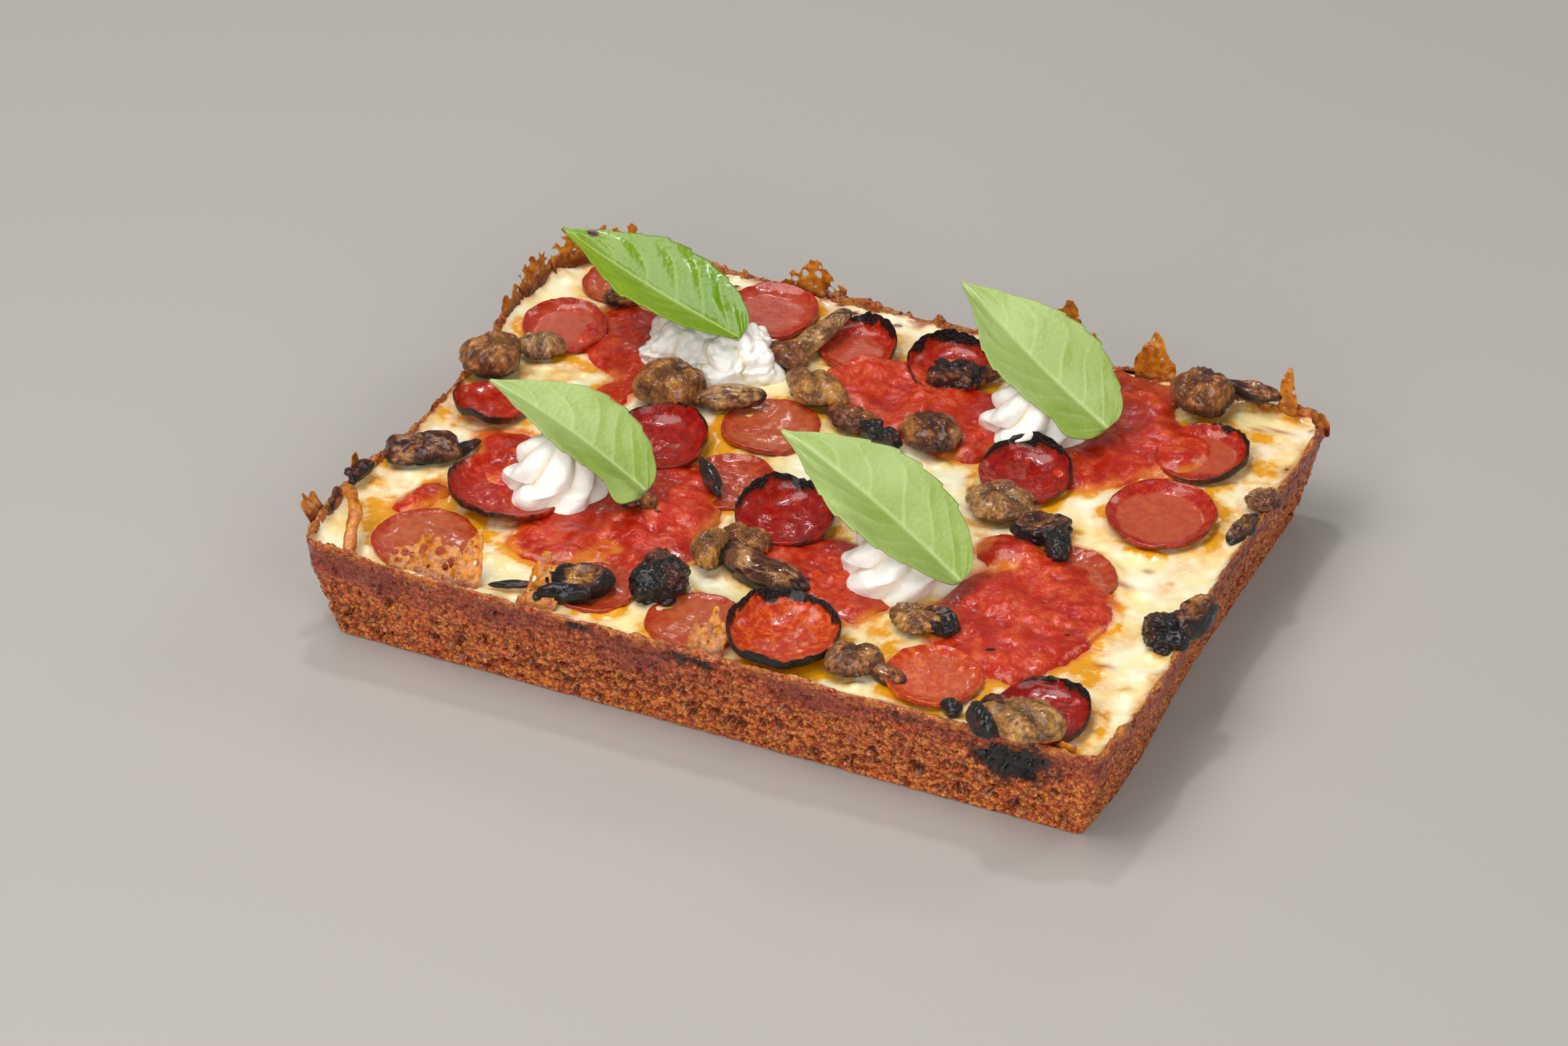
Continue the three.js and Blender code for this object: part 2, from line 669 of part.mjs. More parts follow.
function mushroom_solid(piece, grow) {
  return join(piece.lobes.map((lobe) => lobe_solid(lobe, grow)));
}

// ---------------------------------------------------------------- basil leaves
// tip and stem are the ends of the midrib, wide is the half width, arch bows the midrib up,
// far and near are how steeply each half rises from the midrib, in degrees. Towards the stem
// the blade's edges sweep back past it by leaf_sweep of their distance from the midrib.
const leaves = [
  { tip: [-110.4, 53.6, 60], stem: [-47, 42.4, 44.5], wide: 18.5, arch: -2, far: 38, near: 30, seed: 1 },
  { tip: [-94.7, -25.6, 57], stem: [-41.5, -33.2, 38], wide: 17, arch: 2, far: 36, near: 34, seed: 2 },
  { tip: [-6.9, -15.1, 58], stem: [57.5, -35.7, 37], wide: 19, arch: 2, far: 38, near: 24, seed: 3 },
  { tip: [9.9, 75.8, 60], stem: [66.9, 50.1, 39], wide: 19, arch: -2, far: 36, near: 25, seed: 4 },
];
const serration = 0.045;
const leaf_dome = 3;
const leaf_sweep = 0.2;
const leaf_ripple = 0.6;

// The share of the blade's half width along the midrib: pointed at the tip, blunt at the stem.
function blade_width(t) {
  const swell = Math.sin(Math.PI * Math.min(t ** 1.2, 1)) ** (1 - 0.5 * t ** 2);
  return 0.03 + 0.97 * swell;
}

function leaf_solid(leaf, grow) {
  const tip = new THREE.Vector3(...leaf.tip);
  const stem = new THREE.Vector3(...leaf.stem);
  const along = stem.clone().sub(tip).normalize();
  const level = new THREE.Vector3(0, 0, 1).cross(along).normalize();
  const upright = along.clone().cross(level);
  const place = (row, column, side) => {
    const t = row / leaf_rows;
    const v = (column / leaf_columns) * 2 - 1;
    const tooth = 1 + serration * (row % 2 === 0 ? 1 : -1) * Math.abs(v);
    const off = v * (leaf.wide * blade_width(t) * tooth + grow);
    const steep = (off > 0 ? leaf.far : leaf.near) * degree;
    const bow = leaf.arch * Math.sin(Math.PI * t);
    const ripple = leaf_ripple * uneven(t * 9, off * 0.2, leaf.seed);
    const dome = leaf_dome * (off / leaf.wide) ** 2;
    const high = Math.abs(off) * Math.sin(steep) + bow + ripple - dome;
    const point = tip.clone().lerp(stem, t);
    point.addScaledVector(along, leaf_sweep * t * Math.abs(off) + grow * (2 * t - 1));
    point.addScaledVector(level, off * Math.cos(steep));
    point.addScaledVector(upright, high + side * (leaf_thick / 2 + 1.3 * grow));
    return [point.x, point.y, point.z];
  };
  const upper = (row, column) => place(row, column, 1);
  const lower = (row, column) => place(row, column, -1);
  const solid = slab_solid(leaf_rows, leaf_columns, upper, lower);
  return solid.volume() > 0 ? solid : slab_solid(leaf_rows, leaf_columns, lower, upper);
}

// ---------------------------------------------------------------- ricotta
// A piped swirl: x, y, radius, height, number of ridges, twist of the ridges in degrees.
const ricotta = [
  { swirls: [[-67.5, 46, 13.5, 13, 5, 30], [-51, 46.5, 14, 13, 5, -40]] },
  { swirls: [[-69.5, -34, 17.5, 15.5, 6, 50]] },
  { swirls: [[37, -31, 19, 15.5, 6, 50]] },
  { swirls: [[44, 51, 18, 14.5, 6, 50]] },
];
const swirl_sides = 24;
const ridge_depth = 0.15;

// Shares of the radius and height, from the foot to the peak.
const swirl_profile = [
  { out: 1.0, up: -0.08 },
  { out: 0.92, up: 0.32 },
  { out: 0.7, up: 0.62 },
  { out: 0.42, up: 0.86 },
];

function swirl_solid([x, y, radius, height, ridges, twist], grow) {
  const level = cheese_top(x, y) + 0.6;
  const place = (ring, side) => {
    const { out, up } = swirl_profile[ring];
    const angle = (side / swirl_sides) * full_turn;
    const ridge = 1 + ridge_depth * Math.cos(ridges * (angle - twist * degree * up));
    const uneven_edge = 1 + 0.05 * uneven(angle * 1.3, x, 19);
    const reach = radius * out * ridge * uneven_edge + grow;
    const above = level + up * height + (ring === 0 ? -grow : grow);
    return [x + reach * Math.cos(angle), y + reach * Math.sin(angle), above];
  };
  const under = [x, y, level + swirl_profile[0].up * height - grow];
  const over = [x, y, level + height + grow];
  return ringed_solid(swirl_profile.length, swirl_sides, place, under, over);
}

function ricotta_solid(dollop, grow) {
  return join(dollop.swirls.map((swirl) => swirl_solid(swirl, grow)));
}

// ---------------------------------------------------------------- the whole pizza
const pizza = new THREE.Group();
const placed = [];

function boxes_meet(a, b) {
  return [0, 1, 2].every((axis) => a.min[axis] < b.max[axis] && b.min[axis] < a.max[axis]);
}

// Adds a piece, cut clear of every piece that was placed before it. shape(grow) is its form,
// swollen by grow, and clearance is the form that later pieces are cut clear of. Slivers that
// the cuts leave are smoothed away.
function add_piece(name, color, roughness, shape, clearance = shape) {
  let solid = shape(0);
  const box = solid.boundingBox();
  for (const other of placed) {
    if (boxes_meet(box, other.box)) solid = solid.subtract(other.cutter);
  }
  solid = largest(solid.simplify(sliver));
  if (solid.volume() < crumb_volume) throw new Error(`${name} is hidden by its neighbours`);
  const cutter = clearance(gap);
  placed.push({ cutter, box: cutter.boundingBox() });
  const faces = solid.getMesh();
  const geometry = new THREE.BufferGeometry();
  geometry.setAttribute("position", new THREE.BufferAttribute(faces.vertProperties, 3));
  geometry.setIndex(new THREE.BufferAttribute(faces.triVerts, 1));
  geometry.computeVertexNormals();
  const material = new THREE.MeshStandardMaterial({ color, roughness, metalness: 0 });
  const mesh = new THREE.Mesh(geometry, material);
  mesh.name = name;
  pizza.add(mesh);
}

const number = (index) => String(index + 1).padStart(2, "0");

add_piece("crust", 0x96502a, 0.75, crust_solid);
add_piece("cheese", 0xf2e6c4, 0.35, cheese_solid, cheese_clearance);
pepperoni.forEach((disc, index) => {
  const shape = (grow) => pepperoni_solid(disc, grow);
  add_piece(`pepperoni_${number(index)}`, 0xa8321f, 0.3, shape);
});
mushrooms.forEach((piece, index) => {
  const shape = (grow) => mushroom_solid(piece, grow);
  add_piece(`mushroom_${number(index)}`, piece.color, 0.5, shape);
});
leaves.forEach((leaf, index) => {
  const shape = (grow) => leaf_solid(leaf, grow);
  add_piece(`basil_${number(index)}`, 0x86b84e, 0.45, shape);
});
ricotta.forEach((dollop, index) => {
  const shape = (grow) => ricotta_solid(dollop, grow);
  add_piece(`ricotta_${number(index)}`, 0xf6f3ea, 0.4, shape);
});
sauce.forEach((mounds, index) => {
  const shape = (grow) => sauce_solid(mounds, grow);
  add_piece(`sauce_${number(index)}`, 0xbc3320, 0.3, shape);
});

export default pizza;
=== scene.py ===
"""Detroit-style pizza: the look of a whole small pan pizza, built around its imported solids.

Every size is in millimetres in the frame of the solids: the origin is the centre of the base,
+X runs along the long side, -Y is the near long side and +Z is up. Each piece is a numpy
surface with painted masks, which its procedural finish reads.
"""

import itertools
import logging
import math
from dataclasses import dataclass
from enum import Enum
from functools import cache
from typing import Callable, Sequence

import bpy
import numpy as np
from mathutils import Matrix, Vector

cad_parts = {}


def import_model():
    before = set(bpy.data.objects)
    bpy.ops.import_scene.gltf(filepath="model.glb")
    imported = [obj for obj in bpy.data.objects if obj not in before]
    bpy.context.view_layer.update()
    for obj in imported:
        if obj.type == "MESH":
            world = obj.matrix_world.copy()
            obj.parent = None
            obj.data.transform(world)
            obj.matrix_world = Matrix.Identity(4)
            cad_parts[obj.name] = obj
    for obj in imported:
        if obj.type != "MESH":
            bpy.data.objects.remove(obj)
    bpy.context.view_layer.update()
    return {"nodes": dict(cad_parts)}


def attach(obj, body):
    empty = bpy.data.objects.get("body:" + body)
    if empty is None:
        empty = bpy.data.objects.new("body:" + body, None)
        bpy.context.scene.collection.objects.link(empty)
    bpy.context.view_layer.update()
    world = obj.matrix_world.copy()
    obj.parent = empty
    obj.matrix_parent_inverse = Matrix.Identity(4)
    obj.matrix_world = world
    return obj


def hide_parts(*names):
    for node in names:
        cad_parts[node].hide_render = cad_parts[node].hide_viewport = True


log = logging.getLogger("pizza")

MM = 0.001
BODY = "root"
Array = np.ndarray
Color = tuple[float, float, float]
Rows = tuple[tuple[float, ...], ...]
Masks = dict[str, Array]
Tree = bpy.types.NodeTree
Node = bpy.types.Node
Socket = bpy.types.NodeSocket


# -------- numbers and noise
def srgb(red: float, green: float, blue: float) -> tuple[float, ...]:
    """Turns display colour values from 0 to 255 into the linear values that shaders take."""
    return tuple(((c / 255 + 0.055) / 1.055) ** 2.4 if c > 10 else c / 3295 for c in (red, green, blue))


def clipped(value: Array) -> Array:
    """A share, kept from 0 to 1."""
    return np.clip(value, 0, 1)


def ramp(value: Array, low: float, high: float) -> Array:
    """Rises smoothly from 0 at low to 1 at high: 3t^2 - 2t^3 of the clipped share t."""
    t = clipped((value - low) / (high - low))
    return t * t * (3 - 2 * t)


def bell(value: Array, width: float) -> Array:
    """A bell curve around zero: e^-(value / width)^2."""
    return np.exp(-((value / width) ** 2))


def dome(distance: Array, size: float) -> Array:
    """A dome round a middle: 1 - (distance / size)^2, and 0 outside it."""
    return np.maximum(0, 1 - (distance / size) ** 2)


def spot(x: Array, y: Array, at_x: float, at_y: float, wide: float, tall: float) -> Array:
    """A bell-shaped spot, with its spread along X and along Y."""
    return bell(x - at_x, wide) * bell(y - at_y, tall)


def stacked(*parts: object) -> Array:
    """Joins coordinates into points on a new last axis. Shorter ones are repeated to fit."""
    return np.stack(np.broadcast_arrays(*parts), axis=-1)


def angles(sides: int) -> Array:
    """Evenly spaced angles of one turn, as a row."""
    return np.arange(sides)[None, :] / sides * 2 * math.pi


def scatter(cell: Array, seed: int) -> Array:
    """A fixed random number from 0 to 1 for each whole-number cell of three coordinates.

    The coordinates are multiplied by large odd numbers and scrambled by shifts.

    Args:
        cell: Whole numbers, with the last axis of length three.
        seed: Chooses another set of numbers.
    """
    c = cell.astype(np.uint64)
    h = c[..., 0] * np.uint64(73856093) ^ c[..., 1] * np.uint64(19349663)
    h = h ^ c[..., 2] * np.uint64(83492791) ^ np.uint64(seed * 2654435761 % 2**32)
    h = (h ^ (h >> np.uint64(15))) * np.uint64(2246822519) & np.uint64(0xFFFFFFFF)
    h = (h ^ (h >> np.uint64(13))) * np.uint64(3266489917) & np.uint64(0xFFFFFFFF)
    return (h ^ (h >> np.uint64(16))) / 4294967296.0


def noise(points: Array, size: float, seed: int) -> Array:
    """Smooth random values from -1 to 1 that change over the given size.

    The eight corners of each lattice cell are blended by the fade 6t^5 - 15t^4 + 10t^3.
    """
    place = points / size
    base = np.floor(place)
    t = place - base
    t = t * t * t * (t * (t * 6 - 15) + 10)
    base = base.astype(np.int64)
    total = np.zeros(points.shape[:-1])
    for corner in itertools.product((0, 1), repeat=3):
        weight = np.prod(np.where(corner, t, 1 - t), axis=-1)
        total += weight * scatter(base + np.array(corner), seed)
    return 2 * total - 1


def fractal(points: Array, size: float, seed: int, octaves: int = 4) -> Array:
    """Noise of halving sizes and halving weights, summed and scaled back to about -1 to 1."""
    layers = [noise(points, size / 2**k, seed + k) * 0.5**k for k in range(octaves)]
    return sum(layers) / (2 - 0.5 ** (octaves - 1)) * 1.4


def cells(points: Array, size: float, seed: int, flat: bool = False) -> tuple[Array, Array]:
    """Cell noise: the nearest of the seed points that are scattered one to a cell.

    Args:
        points: Places, last axis of length three.
        size: Spacing of the seed points.
        seed: Chooses another scatter.
        flat: True for a surface that is nearly level, which needs fewer neighbours.

    Returns:
        The distance to that point in units of size, and its cell's random number.
    """
    place = points / size * np.array([1.0, 1.0, 0.0 if flat else 1.0])
    base = np.floor(place).astype(np.int64)
    nearest = np.full(points.shape[:-1], 9.0)
    number = np.zeros(points.shape[:-1])
    depth = (0,) if flat else (-1, 0, 1)
    for offset in itertools.product((-1, 0, 1), (-1, 0, 1), depth):
        cell = base + np.array(offset)
        jitter = stacked(*(scatter(cell, seed + k) for k in (0, 1, 2)))
        apart = cell + jitter - place
        if flat:
            apart[..., 2] = 0
        distance = np.sqrt((apart**2).sum(axis=-1))
        closer = distance < nearest
        number = np.where(closer, scatter(cell, seed + 3), number)
        nearest = np.where(closer, distance, nearest)
    return nearest, number


# -------- surfaces
@dataclass
class Skin:
    """The points, faces and painted masks of one piece, in millimetres."""

    points: Array
    faces: list[Array]
    masks: Masks

    def outward(self) -> "Skin":
        """Turns every face over if the closed form is inside out, by the sign of its volume."""
        volume = 0.0
        for face in self.faces:
            corner = self.points[face]
            for k in range(1, face.shape[1] - 1):
                volume += np.einsum("ij,ij->", corner[:, 0], np.cross(corner[:, k], corner[:, k + 1]))
        if volume < 0:
            self.faces = [face[:, ::-1] for face in self.faces]
        return self

    def piece(self, name: str, finish: "Finish", slot: str, nodes: Sequence[str]) -> None:
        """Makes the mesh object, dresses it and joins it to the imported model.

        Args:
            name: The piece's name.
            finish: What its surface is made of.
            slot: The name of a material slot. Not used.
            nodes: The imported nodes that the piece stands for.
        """
        mesh = bpy.data.meshes.new(name)
        mesh.vertices.add(len(self.points))
        mesh.vertices.foreach_set("co", (self.points * MM).astype(np.float32).ravel())
        corners = np.concatenate([face.ravel() for face in self.faces])
        sizes = np.concatenate([np.full(len(face), face.shape[1]) for face in self.faces])
        mesh.loops.add(len(corners))
        mesh.loops.foreach_set("vertex_index", corners.astype(np.int32))
        mesh.polygons.add(len(sizes))
        mesh.polygons.foreach_set("loop_start", (np.cumsum(sizes) - sizes).astype(np.int32))
        mesh.update(calc_edges=True)
        mesh.validate()
        mesh.shade_smooth()
        for mask, values in self.masks.items():
            attribute = mesh.attributes.new(mask, "FLOAT", "POINT")
            attribute.data.foreach_set("value", clipped(values).astype(np.float32))
        mesh.materials.append(finish.material())
        piece = bpy.data.objects.new(name, mesh)
        bpy.context.scene.collection.objects.link(piece)
        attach(piece, BODY)
        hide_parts(*nodes)
        log.info("%s: %d triangles", name, (sizes - 2).sum())


def join_skins(skins: Sequence[Skin]) -> Skin:
    """Puts several forms into one piece. All have the same masks."""
    offsets = np.cumsum([0] + [len(skin.points) for skin in skins])
    faces = [face + start for skin, start in zip(skins, offsets) for face in skin.faces]
    masks = {name: np.concatenate([skin.masks[name] for skin in skins]) for name in skins[0].masks}
    return Skin(np.concatenate([skin.points for skin in skins]), faces, masks)


def grid_quads(rows: int, columns: int, wrap: bool) -> Array:
    """The four corner numbers of every cell of a grid. wrap joins the last column to the first."""
    across = np.arange(columns if wrap else columns - 1)
    row, column = np.meshgrid(np.arange(rows - 1), across, indexing="ij")
    after = (column + 1) % columns
    here, above = row * columns, (row + 1) * columns
    return stacked(here + column, here + after, above + after, above + column).reshape(-1, 4)


def tube_skin(points: Array, first: Array, last: Array, masks: Masks) -> Skin:
    """Closes a grid of rings with one point at each end.

    Args:
        points: Rings by sides by three, each ring going round.
        first: The point that closes the first ring.
        last: The point that closes the last ring.
        masks: Painted values per grid point. An end point takes its ring's mean.
    """
    rings, sides = points.shape[:2]
    ring = np.arange(sides)
    after = (ring + 1) % sides
    top = rings * sides
    foot_fan = stacked(after, ring, top)
    start = (rings - 1) * sides
    head_fan = stacked(start + ring, start + after, top + 1)
    every = np.concatenate([points.reshape(-1, 3), [first], [last]])
    painted = {
        name: np.concatenate([value.ravel(), [value[0].mean()], [value[-1].mean()]])
        for name, value in masks.items()
    }
    return Skin(every, [grid_quads(rings, sides, True), foot_fan, head_fan], painted).outward()


def sheet_skin(upper: Array, lower: Array, keep: Array, masks: Masks) -> Skin:
    """A thin sheet from two grids of points, with a wall round every cell that is left out.

    Args:
        upper: Rows by columns by three points of the upper side.
        lower: The same for the lower side.
        keep: Rows - 1 by columns - 1 truth values, false where the sheet has a hole.
        masks: Painted values per grid point, the same on both sides.
    """
    rows, columns = upper.shape[:2]
    layer = rows * columns
    quads = grid_quads(rows, columns, False).reshape(rows - 1, columns - 1, 4)
    solid = quads[keep]
    padded = np.pad(keep, 1)
    walls = []
    for side, (down, right) in enumerate(((-1, 0), (0, 1), (1, 0), (0, -1))):
        beside = padded[1 + down:rows + down, 1 + right:columns + right]
        edge = quads[keep & ~beside]
        a, b = edge[:, side], edge[:, (side + 1) % 4]
        walls.append(stacked(b, a, a + layer, b + layer))
    faces = [solid, solid[:, ::-1] + layer, *walls]
    points = np.concatenate([upper.reshape(-1, 3), lower.reshape(-1, 3)])
    painted = {name: np.tile(value.ravel(), 2) for name, value in masks.items()}
    used = np.unique(np.concatenate([face.ravel() for face in faces]))
    fresh = np.zeros(len(points), dtype=np.int64)
    fresh[used] = np.arange(len(used))
    kept = {name: value[used] for name, value in painted.items()}
    return Skin(points[used], [fresh[face] for face in faces if len(face)], kept).outward()


def cut_sheet(across: Array, along: Array, field: Callable, lay: Callable, steps: int = 4) -> Skin:
    """A thin sheet cut along the line where a field is zero.

    Every grid cell with a corner inside is kept, and its outside corners move onto the line by
    steps of field * slope / slope^2, so that the edge runs smoothly.

    Args:
        across: Evenly spaced places of the grid's columns.
        along: Evenly spaced places of its rows.
        field: Gives a value for places a and b, positive inside and close to the distance
            from the edge in millimetres.
        lay: Gives the upper points, the lower points and the masks for a, b and the depth
            inside the edge.
        steps: How often the outside corners are moved.

    Returns:
        The closed sheet.
    """
    b, a = np.meshgrid(along, across, indexing="ij")
    spacing = across[1] - across[0]
    inside = field(a, b) > 0
    keep = inside[:-1, :-1] | inside[1:, :-1] | inside[:-1, 1:] | inside[1:, 1:]
    touched = np.zeros_like(inside)
    for rows, columns in itertools.product((slice(None, -1), slice(1, None)), repeat=2):
        touched[rows, columns] |= keep
    moving = touched & ~inside
    start_a, start_b = a[moving], b[moving]
    edge_a, edge_b = start_a.copy(), start_b.copy()
    probe = 0.2 * spacing
    for _ in range(steps):
        here = field(edge_a, edge_b)
        slope_a = (field(edge_a + probe, edge_b) - here) / probe
        slope_b = (field(edge_a, edge_b + probe) - here) / probe
        square = np.maximum(slope_a**2 + slope_b**2, 0.1)
        edge_a = start_a + np.clip(edge_a - here * slope_a / square - start_a, -spacing, spacing)
        edge_b = start_b + np.clip(edge_b - here * slope_b / square - start_b, -spacing, spacing)
    a[moving], b[moving] = edge_a, edge_b
    depth = np.maximum(field(a, b), 0)
    depth[moving] = 0
    upper, lower, masks = lay(a, b, depth)
    return sheet_skin(upper, lower, keep, masks)


def outward_normals(points: Array) -> Array:
    """The unit normals of a grid of rings: the cross product of its two directions."""
    around = np.roll(points, -1, axis=1) - np.roll(points, 1, axis=1)
    along = np.gradient(points, axis=0)
    normal = np.cross(around, along)
    return normal / np.maximum(np.linalg.norm(normal, axis=-1, keepdims=True), 1e-9)


def plane(x: Array, y: Array) -> Array:
    """Level places as points, for noise over the top of the pizza."""
    return stacked(x, y, 0.0)


# -------- finishes
class Wiring:
    """The nodes of one material or group, added and joined one by one."""

    def __init__(self, tree: Tree) -> None:
        """Starts with an empty tree."""
        self.tree = tree
        tree.nodes.clear()

    def add(self, kind: str, values: dict | None = None, **settings: object) -> Node:
        """Adds a node.

        Args:
            kind: The node's type, without its ShaderNode prefix.
            values: Values or sockets by the input's name or number.
            settings: The node's own options.
        """
        node = self.tree.nodes.new("ShaderNode" + kind)
        for name, value in settings.items():
            setattr(node, name, value)
        for key, value in (values or {}).items():
            self.feed(node.inputs[key], value)
        return node

    def feed(self, socket: Socket, value: object) -> None:
        """Joins a socket to another, or gives it a number, a vector or a display colour."""
        if isinstance(value, bpy.types.NodeSocket):
            self.tree.links.new(value, socket)
        elif isinstance(value, tuple) and len(value) == 3 and socket.type == "RGBA":
            socket.default_value = (*srgb(*value), 1.0)
        else:
            socket.default_value = value

    def mask(self, name: str) -> Socket:
        """A painted mask of the surface."""
        return self.add("Attribute", attribute_name=name).outputs["Fac"]

    def math(self, operation: str, *values: object, clamp: bool = True) -> Socket:
        """One sum of two or three values, clipped to 0..1 unless clamp is off."""
        node = self.add("Math", dict(enumerate(values)), operation=operation, use_clamp=clamp)
        return node.outputs[0]

    def times(self, a: object, b: object) -> Socket:
        """The product of two values, clipped to 0..1."""
        return self.math("MULTIPLY", a, b)

    def vector(self, operation: str, *values: object) -> Socket:
        """One sum of vectors."""
        return self.add("VectorMath", dict(enumerate(values)), operation=operation).outputs[0]

    def blend(self, factor: object, first: object, second: object) -> Socket:
        """Mixes two colours: the first at 0, the second at 1."""
        values = {0: factor, 6: first, 7: second}
        return self.add("Mix", values, data_type="RGBA", clamp_factor=True).outputs[2]

    def layers(self, tone: object, *coats: tuple[object, object]) -> Socket:
        """Lays colours over a tone in order, each by a factor or by a painted mask's name."""
        for factor, color in coats:
            cover = self.mask(factor) if isinstance(factor, str) else factor
            tone = self.blend(cover, tone, color)
        return tone

    def between(self, factor: object, low: float, high: float) -> Socket:
        """A value that runs from low to high as the factor goes from 0 to 1."""
        values = {"Value": factor, "To Min": low, "To Max": high}
        return self.add("MapRange", values, clamp=True).outputs[0]

    def contrast(self, factor: object, low: float, high: float) -> Socket:
        """0 below low and 1 above high, with a smooth step between, or the reverse."""
        values = {"Value": factor, "From Min": low, "From Max": high}
        return self.add("MapRange", values, clamp=True, interpolation_type="SMOOTHSTEP").outputs[0]

    def place(self) -> Socket:
        """The place on the piece in its own coordinates, in metres."""
        return self.add("TexCoord").outputs["Object"]

    def clouds(self, size: float, detail: float = 4.0, rough: float = 0.55) -> Socket:
        """Cloudy noise from 0 to 1 with features of a size in millimetres."""
        values = {"Vector": self.place(), "Scale": 1 / (size * MM), "Detail": detail, "Roughness": rough}
        return self.add("TexNoise", values).outputs["Fac"]


class Effects:
    """Node groups for effects that several finishes share, each built once."""

    def start(self, name: str, inputs: dict, outputs: dict[str, str]) -> tuple[Wiring, Sequence, Sequence]:
        """Starts a node group.

        Args:
            name: The group's name.
            inputs: Starting value by input name: a number, or four for a colour.
            outputs: Socket type by output name.

        Returns:
            The net, the sockets that bring the inputs, and those that take the outputs.
        """
        tree = bpy.data.node_groups.new(name, "ShaderNodeTree")
        for label, value in inputs.items():
            kind = "NodeSocketColor" if isinstance(value, tuple) else "NodeSocketFloat"
            socket = tree.interface.new_socket(label, in_out="INPUT", socket_type=kind)
            socket.default_value = value
        for label, kind in outputs.items():
            tree.interface.new_socket(label, in_out="OUTPUT", socket_type="NodeSocket" + kind)
        net = Wiring(tree)
        enter = tree.nodes.new("NodeGroupInput")
        leave = tree.nodes.new("NodeGroupOutput")
        return net, enter.outputs, leave.inputs

    @cache
    def grain(self) -> Tree:
        """Fine grain of one size: a height that mixes clouds with pits."""
        net, enter, leave = self.start("grain", {"Size": 0.001, "Pits": 0.5}, {"Height": "Float"})
        scale = net.math("DIVIDE", 1.0, enter["Size"], clamp=False)
        lattice = {"Vector": net.place(), "Scale": scale}
        clouds = net.add("TexNoise", {**lattice, "Detail": 5.0}).outputs["Fac"]
        pits = net.add("TexVoronoi", lattice).outputs["Distance"]
        share = net.add("Mix", {0: enter["Pits"], 2: clouds, 3: pits}, data_type="FLOAT")
        net.feed(leave["Height"], share.outputs[0])
        return net.tree

    @cache
    def crumb(self) -> Tree:
        """Packed grains of one size with finer grains on them: height, tone that is lightest on the grain
        tops as a painted highlight, and the painted shade of the gaps between them.

        A grain's height is 1 - 1.7 * distance^2 from the middle of its warped cell.
        """
        outputs = {"Height": "Float", "ToneAndTopHighlight": "Float", "GapShade": "Float"}
        net, enter, leave = self.start("crumb", {"Size": 0.001}, outputs)
        place = net.place()
        warp = net.add("TexNoise", {"Vector": place, "Scale": 700.0, "Detail": 2.0})
        centred = net.vector("SUBTRACT", warp.outputs["Color"], (0.5, 0.5, 0.5))
        moved = net.vector("MULTIPLY_ADD", centred, (0.0011, 0.0011, 0.0011), place)
        grains = []
        heights = []
        for share in (1.0, 0.47):
            scale = net.math("DIVIDE", 1 / share, enter["Size"], clamp=False)
            grains.append(net.add("TexVoronoi", {"Vector": moved, "Scale": scale}))
            square = net.math("POWER", grains[-1].outputs["Distance"], 2.0, clamp=False)
            heights.append(net.between(square, 1.0, -0.7))
        random = net.add("SeparateColor", {"Color": grains[0].outputs["Color"]}).outputs[0]
        total = net.math("ADD", net.times(heights[0], 0.62), net.times(heights[1], 0.38))
        net.feed(leave["Height"], total)
        # a random pale tone per grain, brightest on the grain tops as a painted highlight
        net.feed(leave["ToneAndTopHighlight"], net.times(random, net.contrast(total, 0.45, 0.9)))
        # painted shade: the gaps between grains, for the finish to darken
        net.feed(leave["GapShade"], net.contrast(net.math("SUBTRACT", 1.0, total), 0.42, 0.75))
        return net.tree

    @cache
    def burn(self) -> Tree:
        """Browns and blackens a colour where it is charred, with a broken edge."""
        inputs = {"Color": (0.5, 0.5, 0.5, 1.0), "Char": 0.0, "Size": 0.002}
        net, enter, leave = self.start("burn", inputs, {"Color": "Color", "Dark": "Float"})
        scale = net.math("DIVIDE", 1.0, enter["Size"], clamp=False)
        speck = net.add("TexNoise", {"Vector": net.place(), "Scale": scale, "Detail": 4.0})
        centred = net.math("SUBTRACT", speck.outputs["Fac"], 0.5, clamp=False)
        spread = net.math("MULTIPLY_ADD", centred, 0.9, enter["Char"], clamp=False)
        brown = net.contrast(spread, 0.2, 0.5)
        black = net.contrast(spread, 0.45, 0.75)
        tone = net.layers(enter["Color"], (brown, (84, 30, 12)), (black, (13, 8, 7)))
        net.feed(leave["Color"], tone)
        net.feed(leave["Dark"], black)
        return net.tree


EFFECTS = Effects()


